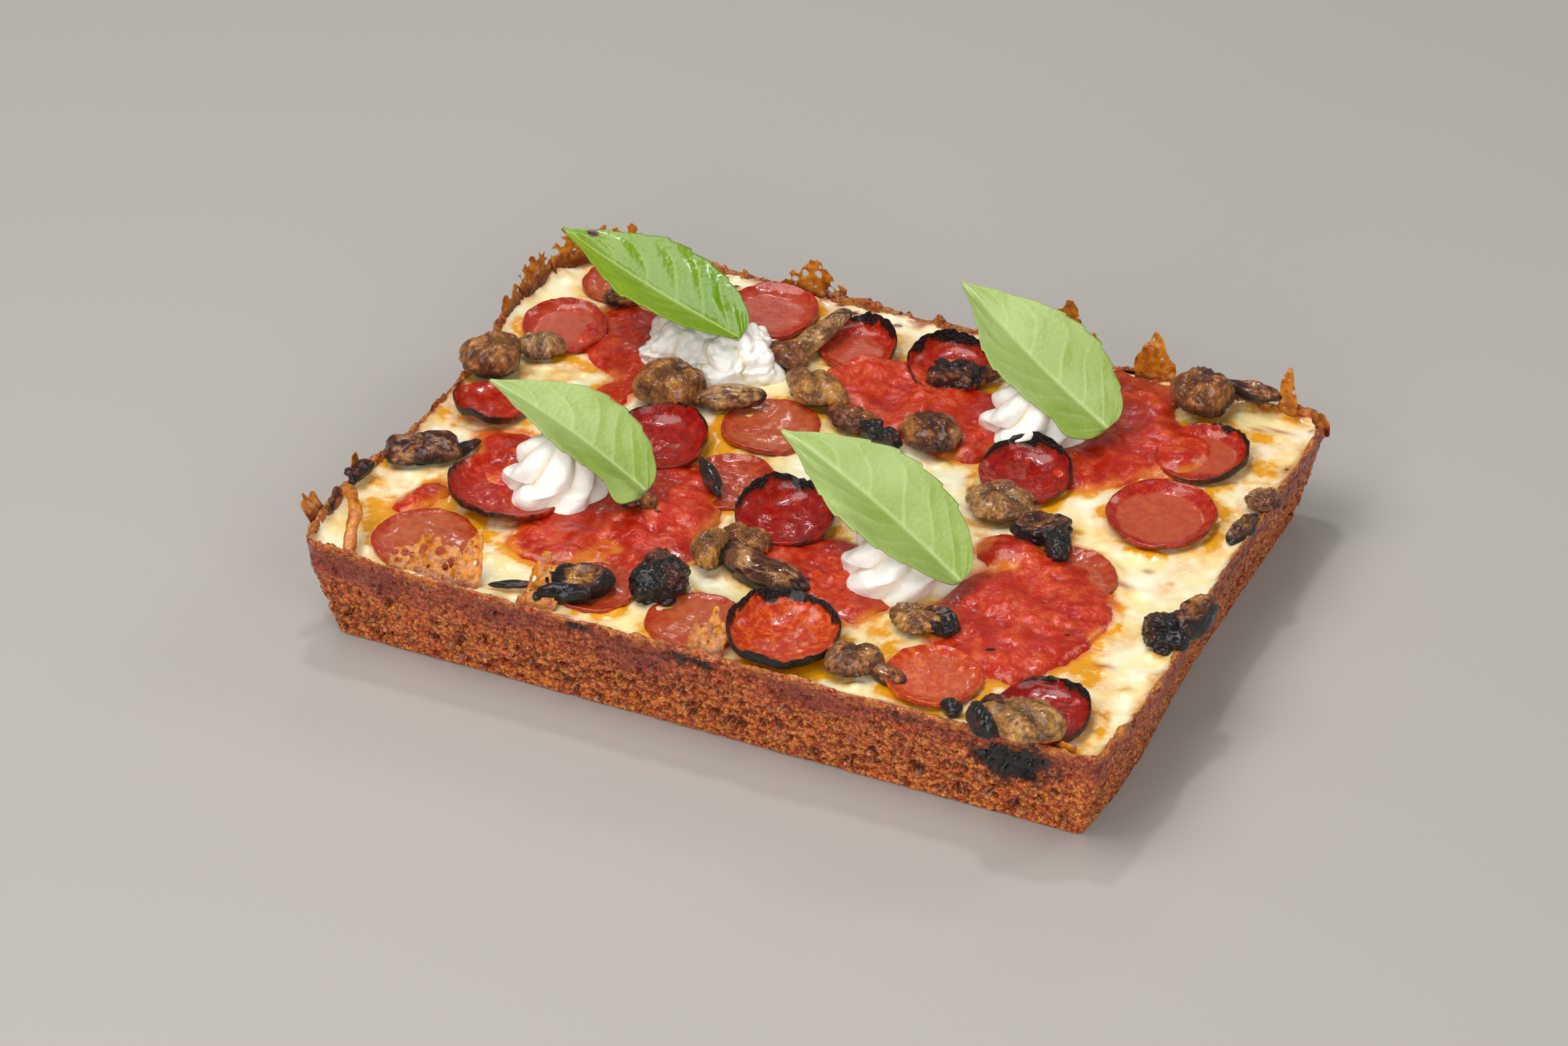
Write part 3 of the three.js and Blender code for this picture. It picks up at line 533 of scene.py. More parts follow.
@dataclass(frozen=True)
class Finish:
    """What a surface is made of. Sizes are in millimetres.

    gloss is its reflection, glow the share of light that enters it and reach how far that
    light goes, clear its transparency, relief the depth of its bumps, char_size the size of
    the flecks of char, and grain and pits the size and pittedness of its fine grain.
    """

    name: str = "finish"
    rough: float = 0.5
    gloss: float = 0.5
    coat: float = 0.0
    coat_rough: float = 0.08
    glow: float = 0.0
    glow_tint: tuple[float, ...] = (1.0, 0.55, 0.35)
    reach: float = 2.0
    clear: float = 0.0
    relief: float = 0.16
    char_size: float = 1.5
    grain: float = 0.8
    pits: float = 0.4

    def material(self) -> bpy.types.Material:
        """Builds the material, or finds it if another piece already has it."""
        found = bpy.data.materials.get(self.name)
        if found:
            return found
        material = bpy.data.materials.new(self.name)
        material.use_nodes = True
        net = Wiring(material.node_tree)
        values = {
            "Roughness": self.rough, "Specular IOR Level": self.gloss,
            "Coat Weight": self.coat, "Coat Roughness": self.coat_rough,
            "Subsurface Weight": self.glow, "Subsurface Radius": self.glow_tint,
            "Subsurface Scale": self.reach * MM, "Transmission Weight": self.clear,
        }
        skin = net.add("BsdfPrincipled", values, subsurface_method="RANDOM_WALK")
        self.paint(net, skin)
        out = net.add("OutputMaterial")
        net.tree.links.new(skin.outputs[0], out.inputs[0])
        return material

    def paint(self, net: Wiring, skin: Node) -> None:
        """Wires the colour, roughness and relief, which each finish does in its own way."""
        raise NotImplementedError

    def scorch(self, net: Wiring, skin: Node, tone: Socket) -> Socket:
        """Colours the surface with a tone, charred by the painted mask.

        Returns:
            How black each place has become.
        """
        values = {"Color": tone, "Char": net.mask("char"), "Size": self.char_size * MM}
        burnt = net.add("Group", values, node_tree=EFFECTS.burn())
        net.feed(skin.inputs["Base Color"], burnt.outputs["Color"])
        return burnt.outputs["Dark"]

    def grained(self, net: Wiring) -> Socket:
        """The height of the finish's fine grain."""
        values = {"Size": self.grain * MM, "Pits": self.pits}
        return net.add("Group", values, node_tree=EFFECTS.grain()).outputs["Height"]

    def emboss(self, net: Wiring, skin: Node, height: Socket) -> None:
        """Feeds a height from 0 to 1 to the normal, as deep as the finish's relief."""
        bump = net.add("Bump", {"Strength": 1.0, "Distance": self.relief * MM, "Height": height})
        net.feed(skin.inputs["Normal"], bump.outputs["Normal"])


@dataclass(frozen=True)
class CrustFinish(Finish):
    """Coarse fried crumb under a dark glaze near the rim, with golden grains and black char, painted shade
    in its gaps and holes and painted highlights on its grain tops.
    """

    name: str = "fried_crust"
    gloss: float = 0.35
    coat: float = 0.4
    relief: float = 0.95
    char_size: float = 2.0
    crumb: float = 1.35
    low: Color = (218, 86, 14)
    high: Color = (198, 60, 18)
    patch: Color = (150, 46, 18)
    # pale: golden grains, brightened on their tops as a painted highlight
    pale: Color = (252, 174, 74)
    # deep is also the painted shade in the gaps between grains
    deep: Color = (104, 14, 0)
    glazed: Color = (106, 22, 24)
    # the painted shade inside the crumb's holes
    pore_shade: Color = (58, 6, 0)
    gold: Color = (206, 128, 48)
    toast: Color = (140, 58, 26)

    def paint(self, net: Wiring, skin: Node) -> None:
        """Grain tones with painted highlights on their tops and painted shade in the gaps, over a height
        gradient, then glaze, painted shade in the holes, gold and char.
        """
        size = {"Size": self.crumb * MM}
        crumb = net.add("Group", size, node_tree=EFFECTS.crumb()).outputs
        glaze = net.mask("glaze")
        matt = net.between(glaze, 1.0, 0.55)
        patch = net.contrast(net.clouds(6.0), 0.4, 0.66)
        # pale grains, random in tone and brightest on their tops as a painted highlight
        light = net.math("MAXIMUM", net.mask("grain"), crumb["ToneAndTopHighlight"])
        golden = net.blend(net.contrast(net.clouds(2.5), 0.35, 0.7), self.gold, self.toast)
        tone = net.layers(
            self.low,
            ("rise", self.high),
            (net.times(patch, 0.35), self.patch),
            (net.times(light, matt), self.pale),
            # painted shade in the gaps between grains
            (net.times(crumb["GapShade"], 0.72), self.deep),
            (net.times(glaze, 0.68), self.glazed),
            # painted shade inside the holes and bites of the crumb
            ("pore_shade", self.pore_shade),
            ("gold", golden),
        )
        self.scorch(net, skin, tone)
        net.feed(skin.inputs["Roughness"], net.between(glaze, self.rough, 0.24))
        open_crumb = net.times(matt, net.between(net.mask("pore_shade"), 1.0, 0.25))
        self.emboss(net, skin, net.times(crumb["Height"], open_crumb))


@dataclass(frozen=True)
class LaceFinish(Finish):
    """Crisp golden cheese lace: amber, darker where it is thick."""

    name: str = "crisp_cheese_lace"
    rough: float = 0.28
    glow: float = 0.2
    reach: float = 1.5
    clear: float = 0.4
    relief: float = 0.25
    amber: Color = (236, 156, 34)
    deep: Color = (190, 92, 14)
    dark: Color = (122, 42, 16)

    def paint(self, net: Wiring, skin: Node) -> None:
        """Amber to deep brown by cloudy noise and by the painted dark mask."""
        spots = net.contrast(net.clouds(2.2, 5.0), 0.4, 0.68)
        tone = net.layers(self.amber, (spots, self.deep), ("dark", self.dark))
        net.feed(skin.inputs["Base Color"], tone)
        self.emboss(net, skin, self.grained(net))


@dataclass(frozen=True)
class CheeseFinish(Finish):
    """Melted pale cheese with orange oil, browned edges and blisters."""

    name: str = "melted_cheese"
    rough: float = 0.34
    coat: float = 0.15
    glow: float = 0.35
    reach: float = 3.0
    relief: float = 0.18
    grain: float = 2.4
    pits: float = 0.1
    cream: Color = (246, 228, 166)
    milk: Color = (250, 243, 214)
    oil: Color = (226, 156, 20)
    tomato: Color = (214, 104, 54)
    brown: Color = (160, 82, 38)

    def paint(self, net: Wiring, skin: Node) -> None:
        """Cream mottled with milk white, stained by oil, sauce and browning."""
        mottle = net.contrast(net.clouds(9.0, 3.0), 0.35, 0.65)
        streak = net.contrast(net.clouds(2.6, 5.0, 0.6), 0.36, 0.6)
        stain = net.times(net.mask("oil"), net.between(streak, 0.9, 1.6))
        coats = ((mottle, self.milk), (stain, self.oil), ("sauced", self.tomato), ("brown", self.brown))
        self.scorch(net, skin, net.layers(self.cream, *coats))
        net.feed(skin.inputs["Roughness"], net.between(stain, self.rough, 0.18))
        self.emboss(net, skin, self.grained(net))


@dataclass(frozen=True)
class PepperoniFinish(Finish):
    """Oily cured sausage: red with orange fat specks, a pool of oil and a charred edge, with a painted
    sheen of reflected light over the pool and patches of the top.
    """

    name: str = "pepperoni"
    rough: float = 0.2
    gloss: float = 0.35
    coat: float = 0.3
    glow: float = 0.1
    reach: float = 1.2
    relief: float = 0.56
    char_size: float = 1.2
    cinder: float = 1.0
    red: Color = (160, 38, 14)
    bright: Color = (182, 78, 36)
    # the pale tone of oil pools and patches, a painted sheen of reflected light
    pool: Color = (184, 100, 60)
    patch: Color = (146, 34, 18)
    speck: Color = (150, 60, 30)

    def paint(self, net: Wiring, skin: Node) -> None:
        """Marbled red and fat, then the painted sheen over the pool and patches, then the char, which is
        raised as cinders.
        """
        marble = net.contrast(net.clouds(2.2, 6.0, 0.66), 0.42, 0.66)
        patch = net.contrast(net.clouds(6.0), 0.38, 0.66)
        speck = net.contrast(net.clouds(0.8, 3.0, 0.5), 0.6, 0.7)
        mottle = net.between(net.contrast(net.clouds(2.6, 5.0, 0.6), 0.34, 0.66), 0.55, 1.0)
        # oil pools and patches over the top, both painted pale as a sheen of reflected light
        wet = net.mask("pool")
        tone = net.layers(
            self.red,
            (marble, self.bright),
            (net.times(patch, 0.35), self.patch),
            (net.times(speck, 0.5), self.speck),
            (net.times(wet, mottle), self.pool),
        )
        black = self.scorch(net, skin, tone)
        net.feed(skin.inputs["Roughness"], net.between(black, self.rough, 0.46))
        height = net.times(self.grained(net), net.between(wet, 0.25, 0.04))
        size = {"Size": self.cinder * MM}
        cinders = net.add("Group", size, node_tree=EFFECTS.crumb()).outputs["Height"]
        self.emboss(net, skin, net.math("ADD", height, net.times(cinders, black)))


@dataclass(frozen=True)
class SauceFinish(Finish):
    """Coarse wet tomato sauce, bright in the lumps and deeper where it is thin, with painted shade in the
    valleys between its folds.
    """

    name: str = "tomato_sauce"
    rough: float = 0.2
    gloss: float = 0.4
    coat: float = 0.2
    glow: float = 0.2
    relief: float = 0.45
    char_size: float = 1.6
    grain: float = 1.0
    pits: float = 0.3
    red: Color = (190, 40, 8)
    bright: Color = (208, 84, 38)
    # deep: dark seeds, thin sauce, and painted shade in the valleys
    deep: Color = (154, 16, 2)
    oil: Color = (222, 132, 40)

    def paint(self, net: Wiring, skin: Node) -> None:
        """Pulp tones that deepen where the sauce is thin and as painted shade in its valleys, with oily
        edges and dark flecks.
        """
        pulp = net.contrast(net.clouds(3.2, 6.0, 0.66), 0.42, 0.66)
        seeds = net.contrast(net.clouds(1.1, 4.0, 0.6), 0.52, 0.68)
        thin = net.mask("thin")
        tone = net.layers(
            self.red,
            (pulp, self.bright),
            (net.times(seeds, 0.45), self.deep),
            # deep red where the sauce is thin, and painted shade in the valleys between folds
            (net.times(thin, 0.85), self.deep),
            ("oil", self.oil),
        )
        self.scorch(net, skin, tone)
        self.emboss(net, skin, net.times(self.grained(net), net.between(thin, 1.0, 0.3)))


@dataclass(frozen=True)
class MushroomFinish(Finish):
    """Roasted mushroom: brown leather with golden cut faces, black char, painted shade in its creases and
    painted shade towards its base.
    """

    name: str = "roast_mushroom"
    rough: float = 0.3
    coat: float = 0.5
    glow: float = 0.08
    reach: float = 1.5
    relief: float = 0.42
    char_size: float = 1.8
    brown: Color = (190, 106, 46)
    dark: Color = (92, 38, 12)
    gold: Color = (238, 170, 70)
    umber: Color = (150, 92, 42)
    pale: Color = (234, 188, 124)
    # painted shade in creases, under the cap's lip and in its dent
    crease_shade: Color = (48, 20, 8)

    def paint(self, net: Wiring, skin: Node) -> None:
        """Brown to dark by noise, golden and pale by mask, painted shade in the creases, then char."""
        blotch = net.contrast(net.clouds(4.2, 5.0, 0.62), 0.42, 0.6)
        fine = net.clouds(1.3, 6.0, 0.7)
        tone = net.layers(
            self.brown,
            ("gold", self.gold),
            ("pale", self.pale),
            (net.times(blotch, 0.85), net.blend(net.mask("gold"), self.dark, self.umber)),
            (net.times(net.contrast(fine, 0.52, 0.4), 0.3), self.dark),
            # painted shade in the creases
            ("crease_shade", self.crease_shade),
        )
        self.scorch(net, skin, tone)
        self.emboss(net, skin, net.contrast(fine, 0.36, 0.62))


@dataclass(frozen=True)
class RicottaFinish(Finish):
    """Moist white ricotta, with painted yellowish shade in its grooves and a yellowish foot."""

    name: str = "ricotta_white"
    rough: float = 0.4
    gloss: float = 0.4
    coat: float = 0.05
    glow: float = 0.12
    grain: float = 1.6
    pits: float = 0.25
    white: Color = (247, 245, 238)
    # yellowish painted shade for the grooves, and the foot's yellowish tint
    groove_shade_and_foot_tint: Color = (230, 208, 158)

    def paint(self, net: Wiring, skin: Node) -> None:
        """White with painted yellowish shade in the grooves and a yellowish foot."""
        net.feed(skin.inputs["Base Color"], net.layers(self.white, ("groove_shade_and_foot_tint", self.groove_shade_and_foot_tint)))
        self.emboss(net, skin, self.grained(net))


@dataclass(frozen=True)
class BasilFinish(Finish):
    """A fresh basil leaf: one side's greens, paler veins and a bruise."""

    name: str = "basil_under"
    rough: float = 0.42
    gloss: float = 0.45
    glow: float = 0.12
    reach: float = 0.8
    grain: float = 1.5
    pits: float = 0.75
    green: Color = (128, 152, 58)
    # the pale green, also painted on the near half as painted light
    soft: Color = (166, 186, 114)
    vein: Color = (184, 200, 134)

    def paint(self, net: Wiring, skin: Node) -> None:
        """Green that pales by the painted mask, which also paints the near half lighter as painted light,
        mottled, with veins and a dark bruise.
        """
        mottle = net.times(net.contrast(net.clouds(1.0, 4.0, 0.6), 0.4, 0.7), 0.18)
        coats = (("pale", self.soft), (mottle, self.green), ("vein", self.vein))
        self.scorch(net, skin, net.layers(self.green, *coats))
        self.emboss(net, skin, self.grained(net))


@dataclass(frozen=True)
class FloorFinish(Finish):
    """A plain pale satin floor."""

    name: str = "pale_floor"
    pale: Color = (176, 172, 167)
    dim: Color = (171, 167, 162)

    def paint(self, net: Wiring, skin: Node) -> None:
        """One pale tone with the faintest unevenness."""
        tone = net.blend(net.clouds(600.0, 2.0), self.pale, self.dim)
        net.feed(skin.inputs["Base Color"], tone)


# -------- the pan's outline
@dataclass(frozen=True)
class PanOutline:
    """The rounded outline that the pan gives the pizza, and how high its rim stands."""

    length: float = 244.0
    width: float = 185.5
    height: float = 33.0
    radii: tuple[float, ...] = (4.5, 7.0, 24.0, 5.0)
    least_radius: float = 2.0
    bows: Rows = ((-1, -60, 4.2, 26), (-1, 50, 4.4, 22), (1, -55, 3.4, 34))
    lifts: Rows = ((2.4, -122, -92, 26, 30), (2.6, -122, 80, 30, 34))

    def bow(self, side: Array, y: Array) -> Array:
        """How far a short side bows outwards at y: bell curves out * e^-((y - at) / spread)^2."""
        total = np.zeros(np.broadcast(side, y).shape)
        for sign, at, out, spread in self.bows:
            total += np.where(side == sign, out * bell(y - at, spread), 0)
        return total

    def ring(self, inset: Array, share: Array) -> Array:
        """Points of the outline at insets from the rim.

        A rounded rectangle: arcs at the corners and straight sides between them, sampled at
        shares of the way round from the near right corner, counterclockwise. Its points are
        handled as complex numbers, x + iy.

        Args:
            inset: Distance inside the rim, one per row.
            share: Place from 0 to 1 round the outline, one per column.
        """
        inset = np.atleast_1d(inset)[:, None]
        radius = np.maximum(self.least_radius, np.array(self.radii) - 0.5 * inset)
        across, along = self.length / 2 - inset, self.width / 2 - inset
        side_x, side_y = np.array([1, 1, -1, -1]), np.array([-1, 1, 1, -1])
        center = side_x * (across - radius) + 1j * side_y * (along - radius)
        start = np.radians(np.array([-90, 0, 90, 180]))
        begin = center + radius * np.exp(1j * start)
        end = center + radius * 1j * np.exp(1j * start)
        following = np.roll(begin, -1, axis=1)
        ends = np.cumsum(stacked(radius[0] * math.pi / 2, np.abs(following - end)[0]).ravel())
        place = share * ends[-1]
        segment = np.minimum(np.searchsorted(ends, place, side="right"), 7)
        before = np.concatenate([[0], ends])[segment]
        t = (place - before) / (ends[segment] - before)
        corner = segment // 2
        turned = np.exp(1j * (start[corner] + t * math.pi / 2))
        arc = center[:, corner] + radius[:, corner] * turned
        line = end[:, corner] * (1 - t) + following[:, corner] * t
        point = np.where(segment % 2 == 0, arc, line)
        x, y = point.real, point.imag
        return stacked(x + np.sign(x) * self.bow(np.sign(x), y) * (np.abs(x) / across) ** 4, y)

    def reach(self, y: Array, inset: float, side: float) -> Array:
        """How far the outline reaches from the middle along X, on one side, at places along Y."""
        near, far = (0, 1) if side > 0 else (3, 2)
        corner = np.where(y < 0, self.radii[near], self.radii[far])
        radius = np.maximum(self.least_radius, corner - 0.5 * inset)
        into = np.maximum(0, np.abs(y) - (self.width / 2 - inset - radius))
        cut = radius - np.sqrt(np.maximum(0, radius**2 - into**2))
        plain = self.length / 2 - inset - cut
        return plain + self.bow(np.full_like(y, side), y) * (plain / (self.length / 2 - inset)) ** 4

    def edge_distance(self, x: Array, y: Array) -> Array:
        """How far a place inside the pizza is from the nearest side of the rim."""
        side = np.where(x < 0, -1.0, 1.0)
        across = self.length / 2 + self.bow(side, y) - np.abs(x)
        radius = max(self.radii)
        corner_x = np.maximum(0, radius - (x + self.length / 2))
        corner_y = np.maximum(0, radius - (self.width / 2 - y))
        rounded = radius - np.hypot(corner_x, corner_y)
        inside = np.minimum(across, self.width / 2 - np.abs(y))
        return np.where((corner_x > 0) & (corner_y > 0), np.minimum(inside, rounded), inside)

    def rim_top(self, x: Array, y: Array) -> Array:
        """The rim's height: higher at the two left corners, where cheese has crept up."""
        return self.height + sum(high * spot(x, y, *place) for high, *place in self.lifts)


PAN = PanOutline()
CHEESE_LEVEL = 31.0
CHEESE_DIP = 0.55
CHEESE_WAVE = 34.0


def cheese_top(x: Array, y: Array) -> Array:
    """The cheese's top, dipping a little below its highest level in slow waves."""
    return CHEESE_LEVEL - CHEESE_DIP - 0.5 * noise(plane(x, y), CHEESE_WAVE, 11)


# -------- crust
@dataclass
class Crust:
    """The deep crust: a flared wall of coarse fried crumb with a browned cheese rim."""

    outline: PanOutline = PAN
    around: int = 1240
    wall_rough: float = 0.5
    crumb: float = 0.4
    grain_size: float = 1.7
    fine_size: float = 1.05
    pore_depth: float = 3.3
    small_depth: float = 1.2
    sunk: float = 0.4
    bite_depth: float = 3.0
    bite_lift: float = 2.8
    crest_height: float = 2.4
    perimeter: float = 845.0
    profile: tuple[tuple[float, float, int], ...] = (
        (14.0, 0.0, 0), (9.4, 0.0, 2), (8.2, 0.5, 3), (7.6, 2.6, 4), (3.1, 19.8, 27), (0.5, 31.0, 18),
        (0.6, 32.3, 3), (1.3, 33.0, 2), (2.1, 32.6, 2), (2.8, 31.2, 3), (3.4, 28.0, 4),
    )
    chars: Rows = (
        (102, -93, 26, 11, 6), (90, -93, 23, 9, 5), (97, -93, 17, 8, 4), (-3, -93, 29, 5, 2.6),
        (5, -93, 29, 4, 2), (64, -93, 30, 6, 2), (-34, -93, 31, 5, 1.5), (-122, -70, 33, 5, 2),
    )
    gloss_spots: Rows = (
        (-18, -93, 24, 14, 9), (-60, -93, 26, 14, 6), (40, -93, 27, 16, 5), (-100, -93, 26, 16, 6),
    )

    def profile_points(self) -> tuple[Array, Array]:
        """Insets and heights along the wall, with the given steps between the corners."""
        corner = np.array([(inset, high) for inset, high, _ in self.profile])
        steps = np.cumsum([count for _, _, count in self.profile])
        place = np.arange(steps[-1] + 1)
        return np.interp(place, steps, corner[:, 0]), np.interp(place, steps, corner[:, 1])

    def pores(self, along: Array, high: Array) -> tuple[Array, Array]:
        """Holes of the crumb over the unrolled wall: flat ovals, larger and denser below.

        The places are warped by noise, so that no hole is a true oval, and fade out at the
        seam where the wall's two ends meet.
        """
        flat = stacked(along, high, 0.0)
        warp = stacked(noise(flat, 4.0, 36), 0.8 * noise(flat, 3.0, 37), 0.0)
        place = (flat + 1.3 * warp) * np.array([1.0, 1.75, 1.0])
        low = 1 - ramp(high + 3 * noise(flat, 20.0, 38), 11, 25)
        crowd = ramp(noise(flat, 17.0, 39), -0.6, 0.6)
        seam = ramp(along, 1, 5) * ramp(self.perimeter - along, 1, 5)
        nearest, number = cells(place, 6.4, 31, flat=True)
        size = (0.13 + 0.27 * number**1.4) * (0.4 + 0.8 * low) * (number > 0.42 - 0.4 * crowd)
        wide = (1 - ramp(nearest, size * 0.75, size + 0.03)) * (size > 0.04) * seam
        nearest, number = cells(place, 3.0, 32, flat=True)
        size = (0.14 + 0.28 * number) * (number > 0.66 - 0.4 * crowd * low)
        small = (1 - ramp(nearest, size * 0.5, size + 0.1)) * (size > 0.04) * seam
        return wide, small

    def spots(self, points: Array, table: Rows) -> Array:
        """Bell-shaped spots on the wall: x, y, z, then their spread along and up the wall."""
        x, y, z = points[..., 0], points[..., 1], points[..., 2]
        return sum(spot(x, y, a, b, wide, wide) * bell(z - c, tall) for a, b, c, wide, tall in table)

    def skin(self) -> Skin:
        """Rings of the outline carried up the profile, then pushed in and out by the crumb.

        Out = waves + grains - pores - bites, along the normal, where grains are domes around
        scattered points and bites eat into the wall's foot. A glaze near the rim fills the
        grain, and the rim itself stands up in a crest of small spikes.
        """
        share = np.arange(self.around) / self.around
        inset, high = self.profile_points()
        ring = self.outline.ring(inset, share)
        rim = self.outline.rim_top(ring[..., 0], ring[..., 1]) / self.outline.height
        tall = high[:, None] * np.where(high[:, None] > 3, rim, 1.0)
        points = np.concatenate([ring, tall[..., None]], axis=-1)
        normal = outward_normals(points)
        if (normal[len(high) // 2] * points[len(high) // 2]).sum() < 0:
            normal = -normal
        wall, rimmed = ramp(high, 0.2, 2.0)[:, None], ramp(high, 29.5, 32.8)[:, None]
        back = np.minimum(1, ramp(points[..., 1], 40, 90) + ramp(-points[..., 0], 95, 120))
        glaze = ramp(points[..., 2] + 7.0 * fractal(points, 15.0, 73, 4), 21, 33)
        glaze = clipped(0.8 * glaze + self.spots(points, self.gloss_spots)) * (1 - 0.6 * rimmed)
        waves = self.wall_rough * fractal(points, 11.0, 3, 3) + 0.35 * fractal(points, 4.0, 4, 3)
        coarse, number = cells(points, self.grain_size, 21)
        fine, tone = cells(points, self.fine_size, 22)
        grains = self.crumb * (dome(coarse, 0.75) * (0.4 + 1.1 * number) + 0.6 * dome(fine, 0.7))
        top = np.argmax(high)
        outer = (1 - rimmed) * (np.arange(len(high)) < top)[:, None]
        holes = self.pores(share[None, :] * self.perimeter, points[..., 2])
        wide, small = (outer * hole for hole in holes)
        grains = grains * (1 - 0.5 * glaze) * (1 - np.maximum(wide, small))
        out = waves + grains - self.pore_depth * wide - self.small_depth * small - self.sunk
        spikes = np.maximum(0, fractal(points * np.array([1, 1, 0.4]), 3.4, 8, 3))
        foot = bell(points[..., 2] - 0.4, 1.9)
        bites = np.maximum(0, fractal(points * np.array([1, 1, 0]), 8.0, 41, 3)) * foot
        out = (out - self.bite_depth * bites) * wall
        moved = points + normal * out[..., None]
        crest = (0.45 + 0.6 * back) * self.crest_height * spikes + 0.5 * fractal(points, 7.0, 9, 3)
        moved[..., 2] += rimmed * crest + wall * bites * self.bite_lift
        moved[..., 2] = np.where(high[:, None] <= 0, 0, np.maximum(moved[..., 2], 0.05))
        inner = (np.arange(len(high)) >= top)[:, None]
        golden = 0.75 * rimmed * ramp(fractal(points, 4.0, 61, 3), -0.2, 0.4)
        golden = np.maximum(golden, inner * ramp(noise(points, 4.0, 62), -0.8, 0.2))
        charred = self.spots(points, self.chars) * (0.75 + 0.5 * fractal(points, 4.0, 64, 3))
        charred = charred + 0.3 * rimmed * ramp(fractal(points, 5.0, 66, 3), 0.1, 0.6)
        masks = {
            "rise": ramp(points[..., 2] + 3 * fractal(points, 14.0, 71, 3), 8, 31),
            "glaze": glaze,
            # pale grains of random tone, brightest at each grain's top as a painted highlight
            "grain": (0.3 + 0.7 * number) * dome(coarse, 0.85) * ramp(tone, 0.1, 0.8) * (1 - wide),
            # painted shade inside the holes and in the bites at the foot
            "pore_shade": clipped(wide + 0.85 * small + 0.8 * bites) * wall,
            "gold": golden,
            "char": clipped(charred),
        }
        inside = np.array([0.0, 0.0, self.profile[-1][1]])
        return tube_skin(moved, np.zeros(3), inside, masks)

    def build(self) -> None:
        """Makes the crust piece."""
        self.skin().piece("crust_wall", CrustFinish(), "crust", ["crust"])


# -------- toppings' tables
def rows_of(kind: type, groups: tuple) -> tuple[tuple, ...]:
    """Turns the rows of a table into parts of one kind, in groups that make one piece each."""
    return tuple(tuple(kind(*row) for row in group) for group in groups)


class Look(Enum):
    """How a pepperoni disc has baked."""

    FLAT = "flat"
    CUP = "cup"
    DEEP = "deep"
    AMBER = "amber"


FLAT, CUP, DEEP, AMBER = Look

# each look's red, bright fat and pale tone; the pale tone paints a sheen of reflected light
CURED: dict[Look, Rows] = {
    FLAT: ((160, 38, 14), (182, 78, 36), (184, 100, 60)),
    CUP: ((158, 18, 8), (190, 60, 24), (186, 92, 60)),
    DEEP: ((132, 4, 2), (172, 26, 8), (196, 126, 92)),
    AMBER: ((184, 44, 8), (216, 104, 30), (192, 90, 42)),
}


@dataclass(frozen=True)
class Disc:
    """One pepperoni disc: place, flat radius, edge lift, curl and where it faces.

    char blackens the edge, around is the share of it that the side away from toward gets,
    the next value is how strongly oil pools on the floor, painted pale as a sheen of
    reflected light, and the last how strongly patches over the top get that painted sheen.
    """

    x: float
    y: float
    radius: float
    rim: float
    curl: float
    toward: float
    rise: float
    look: Look = FLAT
    char: float = 0.2
    around: float = 0.2
    pool: float = 0.0
    painted_sheen: float = 0.0


(DISCS,) = rows_of(Disc, ((
    (94.5, 24, 17, 2.2, 1.6, 90, 0.3, CUP, 0.25, 0.5, 0.75),
    (94, 58.5, 15, 1.4, 2.8, 30, 0.2, CUP, 0.85, 0.1, 0.7),
    (65, 84, 13, 0.8, 1.0, 90, 0.5, FLAT, 0.1, 0.2, 0.0, 0.5),
    (9, 69.5, 14.5, 2.2, 4.6, 120, 0.4, CUP, 1.0, 0.1),
    (-19.5, 68.5, 13, 1.4, 5.0, 75, 0.4, CUP, 1.0, 0.1, 0.6),
    (-52, 76, 15, 1.4, 1.2, 60, 0.1, CUP, 0.15, 0.1, 0.6, 0.4),
    (-105, 43, 14, 1.4, 1.8, 110, 0.1, CUP, 0.2, 0.1, 0.7, 0.5),
    (-100, 73, 13, 0.6, 0.4, 180, 0.4, FLAT, 0.05, 0.1, 0.0, 0.7),
    (-52.5, -1, 16, 1.6, 4.6, 75, 0.4, DEEP, 0.55, 0.1, 0.0),
    (-27, 20.5, 15, 0.7, 0.8, 300, 0.3, FLAT, 0.05, 0.1, 0.0, 0.9),
    (-25, -10, 14, 1.0, 1.2, 70, 0.2, FLAT, 0.15, 0.1, 0.0, 0.2),
    (-3.2, -21.4, 16, 2.2, 4.4, 110, 0.6, DEEP, 1.0, 0.25),
    (-106, -5, 12.5, 1.2, 4.0, 250, 0.4, CUP, 0.5, 0.1),
    (-82, -43, 18.5, 1.4, 4.4, 225, 0.6, CUP, 0.5, 0.1),
    (-92, -73, 16, 0.6, 0.6, 250, 0.2, FLAT, 0.05, 0.1, 0.0, 1.0),
    (-5, -77, 14.5, 0.6, 0.8, 60, 0.2, FLAT, 0.1, 0.1, 0.0, 0.8),
    (21, -75.5, 18.5, 4.4, 2.4, 150, 0.6, AMBER, 0.95, 0.7),
    (66, -74.5, 14.5, 1.2, 0.8, 220, 0.4, AMBER, 0.1, 0.1, 0.4, 0.3),
    (100.5, -78.5, 15, 1.8, 3.4, 60, 0.4, DEEP, 0.75, 0.1),
    (51.4, 27.2, 15.2, 1.8, 4.8, 92, 0.6, DEEP, 1.0, 0.1),
    (81, -14, 14.5, 0.8, 0.8, 60, 0.2, FLAT, 0.15, 0.1, 0.0, 0.6),
    (-38, -74, 12.5, 0.6, 0.4, 300, 0.2, FLAT, 0.1, 0.1, 0.0, 0.2),
),))


@dataclass(frozen=True)
class Mound:
    """One low mound of sauce: place, half sizes, turn and height over the cheese."""

    x: float
    y: float
    long: float
    wide: float
    turn: float
    rise: float

    def depth(self, x: Array, y: Array) -> Array:
        """The place's distance from the mound's middle, 1 at its edge."""
        spin = math.radians(self.turn)
        along = (x - self.x) * math.cos(spin) + (y - self.y) * math.sin(spin)
        across = (y - self.y) * math.cos(spin) - (x - self.x) * math.sin(spin)
        return np.hypot(along / self.long, across / self.wide)


